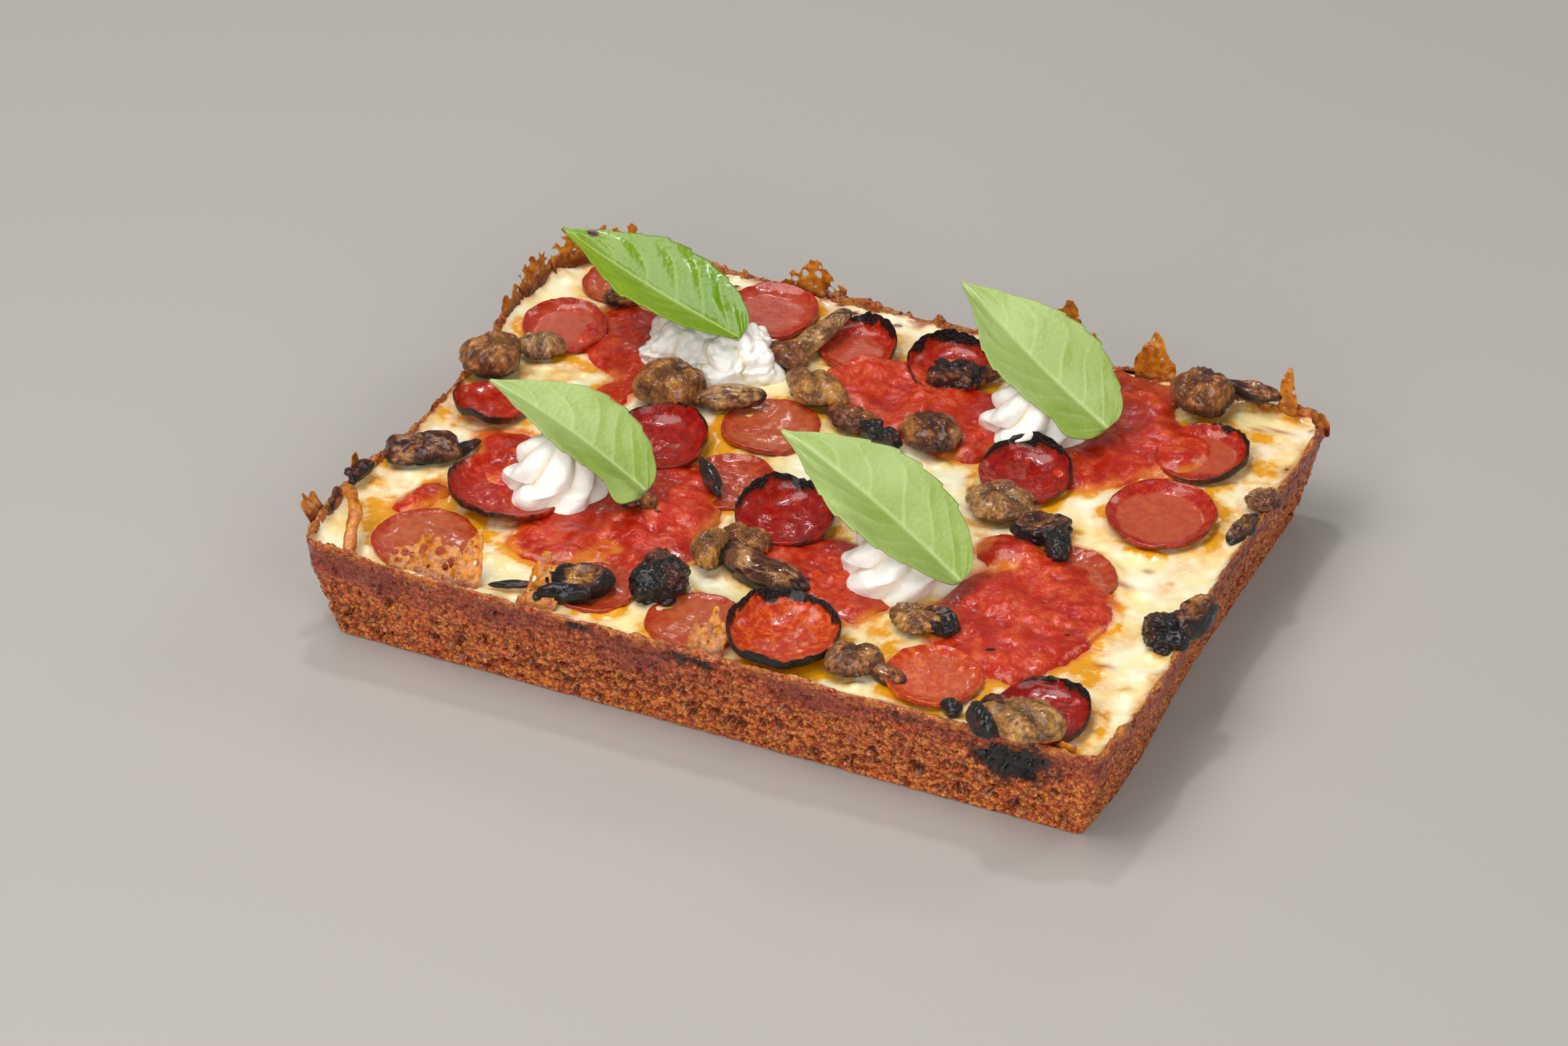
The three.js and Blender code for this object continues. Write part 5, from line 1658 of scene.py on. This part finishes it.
# -------- mushrooms
@dataclass
class Mushrooms:
    """Roasted mushroom caps, slices, stems and lumps."""

    rings: int = 44
    sides: int = 66
    lip: float = 0.24
    dent: float = 0.3
    hollow: float = 0.3
    gill: float = 0.35

    def lobe(self, part: Lobe, seed: int) -> Skin:
        """An egg form with an angular outline, puckered by folded noise, on caps along spokes.

        Out = cos(rise)^0.7 * outline(angle). The skin sinks where noise is near zero, which
        leaves creases between leathery folds. A cap is drawn in to a lip below and dented by
        one fold across its top, a cut cap ends in a flat face with gills, and a slice is
        hollow on top inside a curled edge.
        """
        rise = np.linspace(-1, 1, self.rings + 2)[1:-1, None] * math.pi / 2
        angle = angles(self.sides)
        circle = stacked(np.cos(angle), np.sin(angle), seed)
        outline = 1 + 0.19 * noise(circle, 0.9, seed + 2) + 0.08 * noise(circle, 0.4, seed + 3)
        out = np.cos(rise) ** (0.55 if part.form is STEM else 0.7)
        along = out * np.cos(angle) * outline * part.long / 2
        across = out * np.sin(angle) * outline * part.wide / 2
        above = np.sin(rise) * np.ones_like(angle) * part.high / 2
        lip = dent = np.zeros_like(above)
        if part.form is CAP:
            above = np.where(above < 0, 0.7 * above, above)
            lip = (1 - ramp(rise, -0.5, -0.12)) * np.ones_like(angle)
            along, across = along * (1 - self.lip * lip), across * (1 - self.lip * lip)
            slant = math.radians(47 * seed)
            past_fold = across * math.cos(slant) + along * math.sin(slant) - 0.06 * part.wide
            dent = bell(past_fold, 0.1 * part.wide) * (above > 0)
            above = above * (1 - self.dent * dent)
        body = stacked(along, across, above) + 40.0 * seed
        grain, rough = LEATHER[part.form]
        swirl = stacked(*(noise(body, 5.0, seed + k) for k in (31, 32, 33)))
        fibres = (body + 1.3 * swirl) * np.array(grain)
        folds = np.abs(fractal(fibres, 6.0, seed + 6, 2))
        if part.form is CAP:
            spokes = stacked(np.cos(angle), np.sin(angle), 0.4 * rise)
            folds = np.abs(fractal(spokes + 0.1 * swirl + seed, 0.34, seed + 6, 2))
        wrinkles = np.abs(fractal(fibres, 2.1, seed + 9, 3))
        skin = rough * (ramp(folds, 0, 0.5) + 0.55 * wrinkles - 0.75)
        # painted shade in the creases between folds and wrinkles
        crease_shade = np.maximum(1 - ramp(folds, 0.0, 0.14), 0.7 * (1 - ramp(wrinkles, 0.0, 0.12)))
        length = np.linalg.norm(stacked(along, across, above), axis=-1)
        grow = 1 + skin / np.maximum(length, 1.5)
        along, across, above = along * grow, across * grow, above * grow
        hollow = np.zeros_like(above)
        if part.form is SLICE:
            share = np.hypot(along / part.long, across / part.wide) * 2
            hollow = (1 - ramp(share, 0.35, 0.85)) * (above > 0)
            above = above - hollow * self.hollow * part.high
        face = np.zeros_like(above)
        if part.cut:
            limit = part.cut * part.long / 2
            past = np.maximum(along - limit, 0)
            face = ramp(past, 0.0, 0.6)
            gill = self.gill * np.sin(2.6 * across + 1.5 * noise(body, 4.0, seed + 14))
            along = np.where(past > 0, limit + 0.12 * past + gill * face, along)
        tilt, turn = math.radians(part.tilt), math.radians(part.turn)
        flat = along * math.cos(tilt) - above * math.sin(tilt)
        x = part.x + flat * math.cos(turn) - across * math.sin(turn)
        y = part.y + flat * math.sin(turn) + across * math.cos(turn)
        middle = cheese_top(part.x, part.y) + part.up
        z = middle + along * math.sin(tilt) + above * math.cos(tilt)
        patch = ramp(fractal(body, 7.0, seed + 12, 3), -0.45, 0.45)
        # the lower part of each lobe: darkened and with less gold and pale, as painted shade towards the
        # base
        low = 1 - ramp(above, -0.3 * part.high, 0.22 * part.high)
        end = ramp(np.abs(along) / part.long, 0.36, 0.48) if part.form is STEM else 0
        edge = ramp(np.abs(np.sin(rise)), 0.75, 0.3) if part.form is SLICE else 0
        # char: real char, plus painted shade on the lower part of the lobe
        char = part.char * (0.5 + 0.9 * patch) + 0.62 * low * (0.5 + part.char) + 0.4 * end + 0.45 * edge
        even = 0.45 + 0.55 * (1 - patch)
        crease_shade = crease_shade * (0.5 if part.form is CAP else 0.85)
        masks = {
            "gold": part.gold * even * (1 - 0.6 * low) + 0.3 * hollow + 0.2 * face,
            "pale": clipped(part.pale * even * (1 - 0.5 * low)),
            # painted shade in creases, under the cap's lip and in the dent across its top
            "crease_shade": clipped(crease_shade + 0.7 * lip + 0.5 * dent),
            "char": clipped(char * (1 - 0.5 * hollow * part.gold)),
        }
        points = stacked(x, y, z)
        return tube_skin(points, points[0].mean(axis=0), points[-1].mean(axis=0), masks)

    def build(self) -> None:
        """Makes one piece for each mushroom, and one for the scraps fused to the cheese."""
        for number, parts in enumerate(MUSHROOMS, 1):
            node = f"mushroom_{number:02d}"
            skin = join_skins([self.lobe(part, 10 * number + k) for k, part in enumerate(parts)])
            skin.piece(f"{node}_roast", MushroomFinish(), "mushroom", [node])
        small = Mushrooms(rings=SCRAP_RINGS, sides=SCRAP_SIDES)
        scraps = join_skins([small.lobe(part, 300 + k) for k, part in enumerate(SCRAPS)])
        scraps.piece("cheese_scraps", MushroomFinish(), "mushroom", ["cheese"])


# -------- ricotta
@dataclass
class Ricotta:
    """Piped swirls of ricotta with deep grooves between rounded ridges."""

    rings: int = 60
    sides: int = 150
    groove: float = 0.34
    clear: float = 0.7
    curd: float = 4.6
    torn: float = 0.14

    def swirl(self, part: Swirl) -> Skin:
        """Rings from the foot to the peak, in two tiers, kept under the basil leaves.

        Radius = (1 - t^2.8)^0.7 * (1 - groove * (1 - |cos(phase / 2)|^0.6)), where the phase
        is the number of ridges times the angle, skewed so that one flank is steeper, and
        turned with the height.
        """
        t = np.linspace(0, 0.995, self.rings)[:, None]
        angle = angles(self.sides)
        up = -0.1 + 1.1 * t
        out = (1 - t**2.8) ** 0.7 * (1 - 0.06 * ramp(t, 0.3, 0.45))
        turned = angle - math.radians(part.twist) * t - 0.25 * ramp(t, 0.32, 0.42)
        circle = stacked(np.cos(angle), np.sin(angle), part.x)
        phase = part.ridges * (turned + 0.12 * noise(circle, 0.8, 3))
        phase = phase + 0.45 * np.sin(phase)
        lobe = np.abs(np.cos(phase / 2)) ** 0.6
        fade = 1 - ramp(t, 0.75, 1.0)
        uneven = 1 + 0.09 * noise(circle, 0.7, 4)
        cut = self.groove * (1 - lobe) * (0.3 + 0.7 * fade) * (0.45 + 0.55 * ramp(t, 0.05, 0.3))
        reach = part.radius * out * uneven * (1.08 - cut)
        level = cheese_top(part.x, part.y) + 0.9
        x = part.x + reach * np.cos(angle)
        y = part.y + reach * np.sin(angle)
        z = level + up * part.height + np.zeros_like(angle)
        points = stacked(x, y, z)
        curd, _ = cells(points, self.curd, 7)
        lumps = 0.7 * fractal(points, 5.0, 5, 4) + 1.2 * dome(curd, 0.7) - 0.7
        away = points - np.array([part.x, part.y, level])
        away /= np.maximum(np.linalg.norm(away, axis=-1, keepdims=True), 1e-6)
        torn = self.torn * fractal(points, 1.8, 9, 3)
        points = points + away * (part.lumps * lumps + torn)[..., None]
        ceiling = np.min([leaf.underside(points[..., 0], points[..., 1]) for leaf in LEAVES], axis=0)
        points[..., 2] = np.minimum(points[..., 2], ceiling - self.clear)
        # deep grooves get painted yellowish shade; the foot is tinted yellowish too
        deep = (1 - ramp(lobe, 0.05, 0.45)) * (0.3 + 0.7 * fade)
        foot = (1 - ramp(up, -0.06, 0.1)) * np.ones_like(angle)
        masks = {"groove_shade_and_foot_tint": clipped(0.5 * deep + 0.6 * foot)}
        first = np.array([part.x, part.y, level - 0.1 * part.height])
        return tube_skin(points, first, points[-1].mean(axis=0), masks)

    def build(self) -> None:
        """Makes one piece for each dollop."""
        for number, swirls in enumerate(DOLLOPS, 1):
            node = f"ricotta_{number:02d}"
            skin = join_skins([self.swirl(part) for part in swirls])
            skin.piece(f"{node}_swirl", RicottaFinish(), "ricotta", [node])


# -------- basil
@dataclass
class Basil:
    """Basil leaves folded along the midrib, with raised veins and a toothed edge."""

    thick: float = 0.5
    rows: int = 90
    columns: int = 56
    teeth: int = 9
    tooth: float = 0.06
    dome: float = 3.0
    sweep: float = 0.2
    veins: float = 6.0
    slant: float = 0.34
    droop: float = 7.0

    def skin(self, leaf: Leaf) -> Skin:
        """A grid along the midrib (t from the tip) and across it (v from -1 to 1).

        The half width is sin(pi t^1.2)^(1 - 0.5 t^2), each half rises from the midrib at its
        own angle less a dome (off / wide)^2, and the blade swells between the side veins,
        which lie where t + slant * |v|^1.3 is a whole number of vein spacings.
        """
        tip, stem = np.array(leaf.tip), np.array(leaf.stem)
        along = (stem - tip) / np.linalg.norm(stem - tip)
        level = np.cross([0, 0, 1], along)
        level /= np.linalg.norm(level)
        upright = np.cross(along, level)
        t = np.linspace(0, 1, self.rows)[:, None] * np.ones((1, self.columns))
        v = np.linspace(-1, 1, self.columns)[None, :] * np.ones((self.rows, 1))
        swell = np.sin(math.pi * np.minimum(t**1.2, 1)) ** (1 - 0.5 * t**2)
        saw = (self.teeth * t + 0.25 * np.sign(v)) % 1.0
        toothed = ramp(t, 0.03, 0.15) * (1 - ramp(t, 0.8, 0.95)) * np.abs(v) ** 3
        hang = leaf.lobe * bell(t - 0.93, 0.1) * (v < 0) * np.abs(v)
        off = v * leaf.wide * (0.03 + 0.97 * swell) * (1 + self.tooth * (saw - 0.5) * toothed)
        off = off + v * leaf.wide * 0.75 * hang
        steep = np.radians(np.where(off > 0, leaf.far, leaf.near))
        share = off / leaf.wide
        skew = 0.06 * noise(stacked(t * 4, share, np.sign(v) + leaf.wide), 1.0, 17)
        line = (t + self.slant * np.abs(v) ** 1.3 + skew) * self.veins * (0.8 + 0.2 * t) + 0.3 * (v > 0)
        beside = np.abs((line + 0.5) % 1.0 - 0.5)
        side_vein = bell(beside, 0.05) * (1 - ramp(np.abs(v), 0.7, 0.92)) * ramp(np.abs(v), 0.0, 0.05)
        mid_vein = bell(off, 0.7)
        pucker = np.cos(beside * 2 * math.pi) * ramp(np.abs(v), 0.03, 0.4) * (1 - ramp(np.abs(v), 0.6, 1.0))
        wave = stacked(t * 5, share * 2, leaf.wide + leaf.far)
        ripple = 0.9 * noise(wave, 1.0, 13) + 0.35 * noise(wave, 0.45, 14)
        sign = 1.0 if leaf.upper else -1.0
        relief = sign * (-(0.24 if leaf.upper else 0.14) * pucker - 0.2 * side_vein - 0.35 * mid_vein)
        high = np.abs(off) * np.sin(steep) + leaf.arch * np.sin(math.pi * t) - self.dome * share**2
        high = high + ripple * ramp(np.abs(v), 0.0, 0.6) + relief * ramp(t, 0.0, 0.12)
        high = high - self.droop * hang * np.abs(v)
        base = tip + (stem - tip) * t[..., None]
        base = base + along * (self.sweep * t * np.abs(off))[..., None]
        base = base + level * (off * np.cos(steep))[..., None]
        upper = base + upright * (high + self.thick / 2)[..., None]
        lower = base + upright * (high - self.thick / 2)[..., None]
        bruise = np.zeros_like(t)
        if leaf.bruise:
            bruise = bell(t - leaf.bruise[0], 0.03) * bell(v - leaf.bruise[1], 0.28) * 0.7
            bruise += 0.4 * (1 - ramp(t, 0.0, 0.05))
        fade = (1 - ramp(t, 0.2, 0.9)) * (0.25 if leaf.upper else 0.7)
        # painted light: the near half of the blade is painted paler
        near_half_painted_light = np.where(off < 0, 0.5 if leaf.upper else 0.15, 0.0)
        masks = {
            "vein": clipped(0.8 * mid_vein + 0.35 * side_vein),
            "pale": clipped(fade + near_half_painted_light + 0.3 * noise(base, 14.0, 15)),
            "char": clipped(bruise + 0.12 * (np.abs(v) > 0.985)),
        }
        keep = np.ones((self.rows - 1, self.columns - 1), dtype=bool)
        return sheet_skin(upper, lower, keep, masks)

    def build(self) -> None:
        """Makes one piece for each leaf."""
        tones = {"green": (98, 136, 2), "soft": (132, 160, 24), "vein": (150, 176, 50)}
        glossy = BasilFinish(name="basil_upper", rough=0.27, gloss=0.4, coat=0.15, **tones)
        for number, leaf in enumerate(LEAVES, 1):
            node = f"basil_{number:02d}"
            finish = glossy if leaf.upper else BasilFinish()
            self.skin(leaf).piece(f"{node}_leaf", finish, "basil", [node])


# -------- cheese lace
@dataclass(frozen=True)
class Flake:
    """One flake of lace on the rim: foot, direction of the foot's line, size and lean."""

    x: float
    y: float
    turn: float
    wide: float
    high: float
    lean: float
    seed: int
    dark: float = 0.3
    holes: float = 0.6


(FLAKES,) = rows_of(Flake, ((
    (-124, 46, 92, 13, 7.5, 12, 1, 0.6),
    (-123, 61, 84, 18, 10, 12, 2, 0.5, 0.8),
    (-117.5, 75, 58, 16, 10, 12, 3, 0.4, 0.9),
    (-108, 86, 32, 15, 12.5, 6, 4, 0.3, 0.9),
    (-45, 91, 2, 21, 12, 4, 6, 0.5, 0.8),
    (38, 91, 0, 20, 19, 4, 8, 0.3, 0.5),
    (65.5, 91, 0, 13, 17, 4, 9, 0.2, 0.3),
    (108, 90.5, 0, 6, 15, 0, 10, 0.1, 0.4),
    (119, 88, -30, 8, 6, 0, 11, 0.7, 0.0),
    (-126, -76, 90, 8, 11, 34, 12, 0.4, 0.0),
    (-126, -51, 90, 5, 9, 6, 13, 0.6, 0.0),
    (-84, -88.5, 0, 24, 12, 52, 14, 0.1, 0.75),
    (-72, -88.5, 0, 9, 17, 46, 18, 0.0, 0.5),
    (-49, -88.5, 0, 12, 15, 40, 15, 0.0, 0.5),
    (3, -88.5, 4, 11, 16, 50, 16, 0.0, 0.5),
    (112, -90, 0, 6, 5, 0, 17, 0.3, 0.0),
),))


@dataclass
class Lace:
    """Flakes and a strand of crisp browned cheese that stand on the rim."""

    spacing: float = 0.45
    thick: float = 0.48
    sink: float = 2.6
    hole_size: float = 3.4
    knots: Rows = (
        (-125, -61, 32), (-122.5, -64, 36.4), (-118, -69.5, 39), (-113, -76, 39.5),
        (-109.5, -84, 37), (-108, -90, 33),
    )

    def flake(self, flake: Flake) -> Skin:
        """A leaning, crumpled sheet with a few holes and a ragged, pointed top.

        The field is the smaller of the distance under the top line and the distance outside
        the holes. The top line falls towards both ends and jumps with noise.
        """
        across = np.arange(-flake.wide / 2 - 1, flake.wide / 2 + 1, self.spacing)
        rise = np.arange(-self.sink, flake.high + 1, self.spacing)
        shift = 37.0 * flake.seed

        def field(a: Array, b: Array) -> Array:
            """The distance inside the flake's outline at sheet places a and b."""
            local = stacked(a, b, shift)
            swirl = 0.9 * stacked(noise(local, 4.0, 31), noise(local, 4.0, 32), 0.0)
            streak = stacked(a, 0.3 * b, shift)
            share = np.abs(2 * a / flake.wide)
            top = flake.high * (1.0 - 0.6 * share**2) * (0.72 + 0.55 * fractal(streak, 5.0, 7, 3))
            body = np.minimum(0.7 * (np.minimum(top, flake.high) - b), flake.wide / 2 - np.abs(a))
            hole, number = cells(local + swirl, self.hole_size, 11, flat=True)
            size = (0.14 + 0.24 * number) * ramp(b, 0.4, 2.5) * flake.holes * 1.3
            gaps = self.hole_size * (hole - size)
            return np.minimum(body, np.where(size > 0.02, gaps, 9.0)) + 0.25 * noise(local, 1.3, 19)

        def lay(a: Array, b: Array, depth: Array) -> tuple[Array, Array, Masks]:
            """Points and masks of both sides at sheet places a and b."""
            local = stacked(a, b, shift)
            bend = 1.2 * fractal(local, 6.5, 3, 3) * ramp(b, 0, 4)
            lumps = np.abs(fractal(local, 2.6, 5, 3))
            thick = self.thick * (0.3 + 0.7 * ramp(depth, 0, 0.9)) * (0.6 + 1.1 * lumps)
            thick = thick * (1.5 - 0.8 * ramp(b, -1, 5))
            lean, turn = math.radians(flake.lean), math.radians(flake.turn)
            foot = PAN.rim_top(flake.x, flake.y) - 0.6
            sides = []
            for offset in (bend + thick, bend - thick):
                left = b * math.sin(lean) + offset * math.cos(lean)
                up = b * math.cos(lean) - offset * math.sin(lean)
                x = flake.x + a * math.cos(turn) - left * math.sin(turn)
                y = flake.y + a * math.sin(turn) + left * math.cos(turn)
                sides.append(stacked(x, y, foot + up))
            low = 1 - ramp(b, -1, flake.high * 0.55)
            dark = flake.dark * (0.3 + 0.7 * low) + 0.5 * (1 - ramp(b, -1.5, 2.0))
            masks = {"dark": dark + 0.5 * ramp(noise(local, 2.2, 23), 0.35, 0.7)}
            return sides[0], sides[1], masks

        return cut_sheet(across, rise, field, lay)

    def strand(self) -> Skin:
        """A strand that arches over the near left corner, its section an uneven oval.

        The line between the knots is smoothed by a sliding mean with bell-shaped weights.
        """
        t = np.linspace(0, 1, 90)
        line = stacked(*(np.interp(t * 5, np.arange(6), knot) for knot in zip(*self.knots)))
        window = np.hanning(13) / np.hanning(13).sum()
        padded = np.pad(line, ((6, 6), (0, 0)), mode="edge")
        line = stacked(*(np.convolve(column, window, "valid") for column in padded.T))
        ahead = np.gradient(line, axis=0)
        ahead /= np.linalg.norm(ahead, axis=-1, keepdims=True)
        side = np.cross(ahead, [0, 0, 1])
        side /= np.linalg.norm(side, axis=-1, keepdims=True)
        over = np.cross(side, ahead)
        angle = angles(20)
        ring = stacked(np.cos(angle), np.sin(angle), 9 * t[:, None])
        uneven = 1 + 0.5 * fractal(ring, 1.2, 9, 3)
        wide = (1.9 * np.cos(angle) * uneven)[..., None] * side[:, None]
        thick = (0.7 * np.sin(angle) * uneven)[..., None] * over[:, None]
        masks = {"dark": 0.2 * np.abs(ring[..., 0])}
        return tube_skin(line[:, None] + wide + thick, line[0], line[-1], masks)

    def build(self) -> None:
        """Makes the lace as one piece that stands for the crust's flakes."""
        skins = [self.flake(flake) for flake in FLAKES] + [self.strand()]
        join_skins(skins).piece("crust_lace", LaceFinish(), "crust", ["crust"])


# -------- studio
@dataclass
class Studio:
    """A pale floor, a camera at the photograph's angle and lights.

    Large soft lights model the forms. The small ones, glint, sheen and spark, give the oil
    its bright points. Each has a name, place, size, power and colour.
    """

    camera_place: tuple[float, float, float] = (0.5915, -1.3208, 1.0184)
    azimuth: float = 24.6
    elevation: float = 34.65
    lens: float = 139.5
    floor_size: float = 6.0
    world: float = 0.2
    lights: tuple[tuple, ...] = (
        ("key", (-0.45, -0.4, 1.4), 1.0, 15.5, (1.0, 0.98, 0.95)),
        ("fill", (1.1, -0.9, 0.9), 0.9, 6.0, (1.0, 0.99, 0.98)),
        ("back", (1.0, 1.1, 1.0), 0.5, 4.0, (1.0, 0.99, 0.97)),
        ("front", (0.3, -1.5, 0.45), 0.9, 10.5, (1.0, 0.98, 0.96)),
        ("glint", (-0.25, 0.35, 1.4), 0.12, 3.5, (1.0, 1.0, 1.0)),
        ("sheen", (-0.55, 1.1, 0.95), 0.08, 0.45, (1.0, 0.99, 0.98)),
        ("spark", (-0.2, -1.2, 1.0), 0.07, 1.6, (1.0, 1.0, 1.0)),
    )

    def camera(self) -> None:
        """Aims the camera back along its azimuth and elevation."""
        data = bpy.data.cameras.new("view")
        data.sensor_width = 36
        data.lens = self.lens
        data.clip_end = 20
        camera = bpy.data.objects.new("view", data)
        around, above = math.radians(self.azimuth), math.radians(self.elevation)
        back = Vector((
            math.sin(around) * math.cos(above),
            -math.cos(around) * math.cos(above),
            math.sin(above),
        ))
        camera.location = self.camera_place
        camera.rotation_euler = (-back).to_track_quat("-Z", "Y").to_euler()
        bpy.context.scene.collection.objects.link(camera)
        bpy.context.scene.camera = camera

    def floor(self) -> None:
        """A level square that carries the pizza."""
        half = self.floor_size / 2
        mesh = bpy.data.meshes.new("floor")
        corners = [(-half, -half, 0), (half, -half, 0), (half, half, 0), (-half, half, 0)]
        mesh.from_pydata(corners, [], [(0, 1, 2, 3)])
        mesh.materials.append(FloorFinish().material())
        floor = bpy.data.objects.new("floor", mesh)
        bpy.context.scene.collection.objects.link(floor)

    def light(self, name: str, place: tuple, size: float, power: float, color: tuple) -> None:
        """A square light aimed at the pizza."""
        data = bpy.data.lights.new(name, "AREA")
        data.size = size
        data.energy = power
        data.color = color
        lamp = bpy.data.objects.new(name, data)
        lamp.location = place
        aim = Vector((0, 0, 0.02)) - Vector(place)
        lamp.rotation_euler = aim.to_track_quat("-Z", "Y").to_euler()
        bpy.context.scene.collection.objects.link(lamp)

    def build(self) -> None:
        """Sets the camera, floor, sky and lights."""
        scene = bpy.context.scene
        scene.view_settings.view_transform = "Standard"
        world = bpy.data.worlds.new("studio")
        world.use_nodes = True
        background = world.node_tree.nodes["Background"]
        background.inputs["Color"].default_value = (1.0, 0.99, 0.97, 1.0)
        background.inputs["Strength"].default_value = self.world
        scene.world = world
        self.camera()
        self.floor()
        for row in self.lights:
            self.light(*row)


def main() -> None:
    """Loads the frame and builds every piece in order."""
    logging.basicConfig(level=logging.INFO, format="%(message)s")
    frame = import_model()
    log.info("frame: %d nodes", len(frame["nodes"]))
    Studio().build()
    for part in (Crust(), Lace(), Cheese(), Pepperoni(), Mushrooms(), Basil(), Ricotta(), Sauce()):
        part.build()
        log.info("%s built", type(part).__name__)


if __name__ == "__main__":
    main()
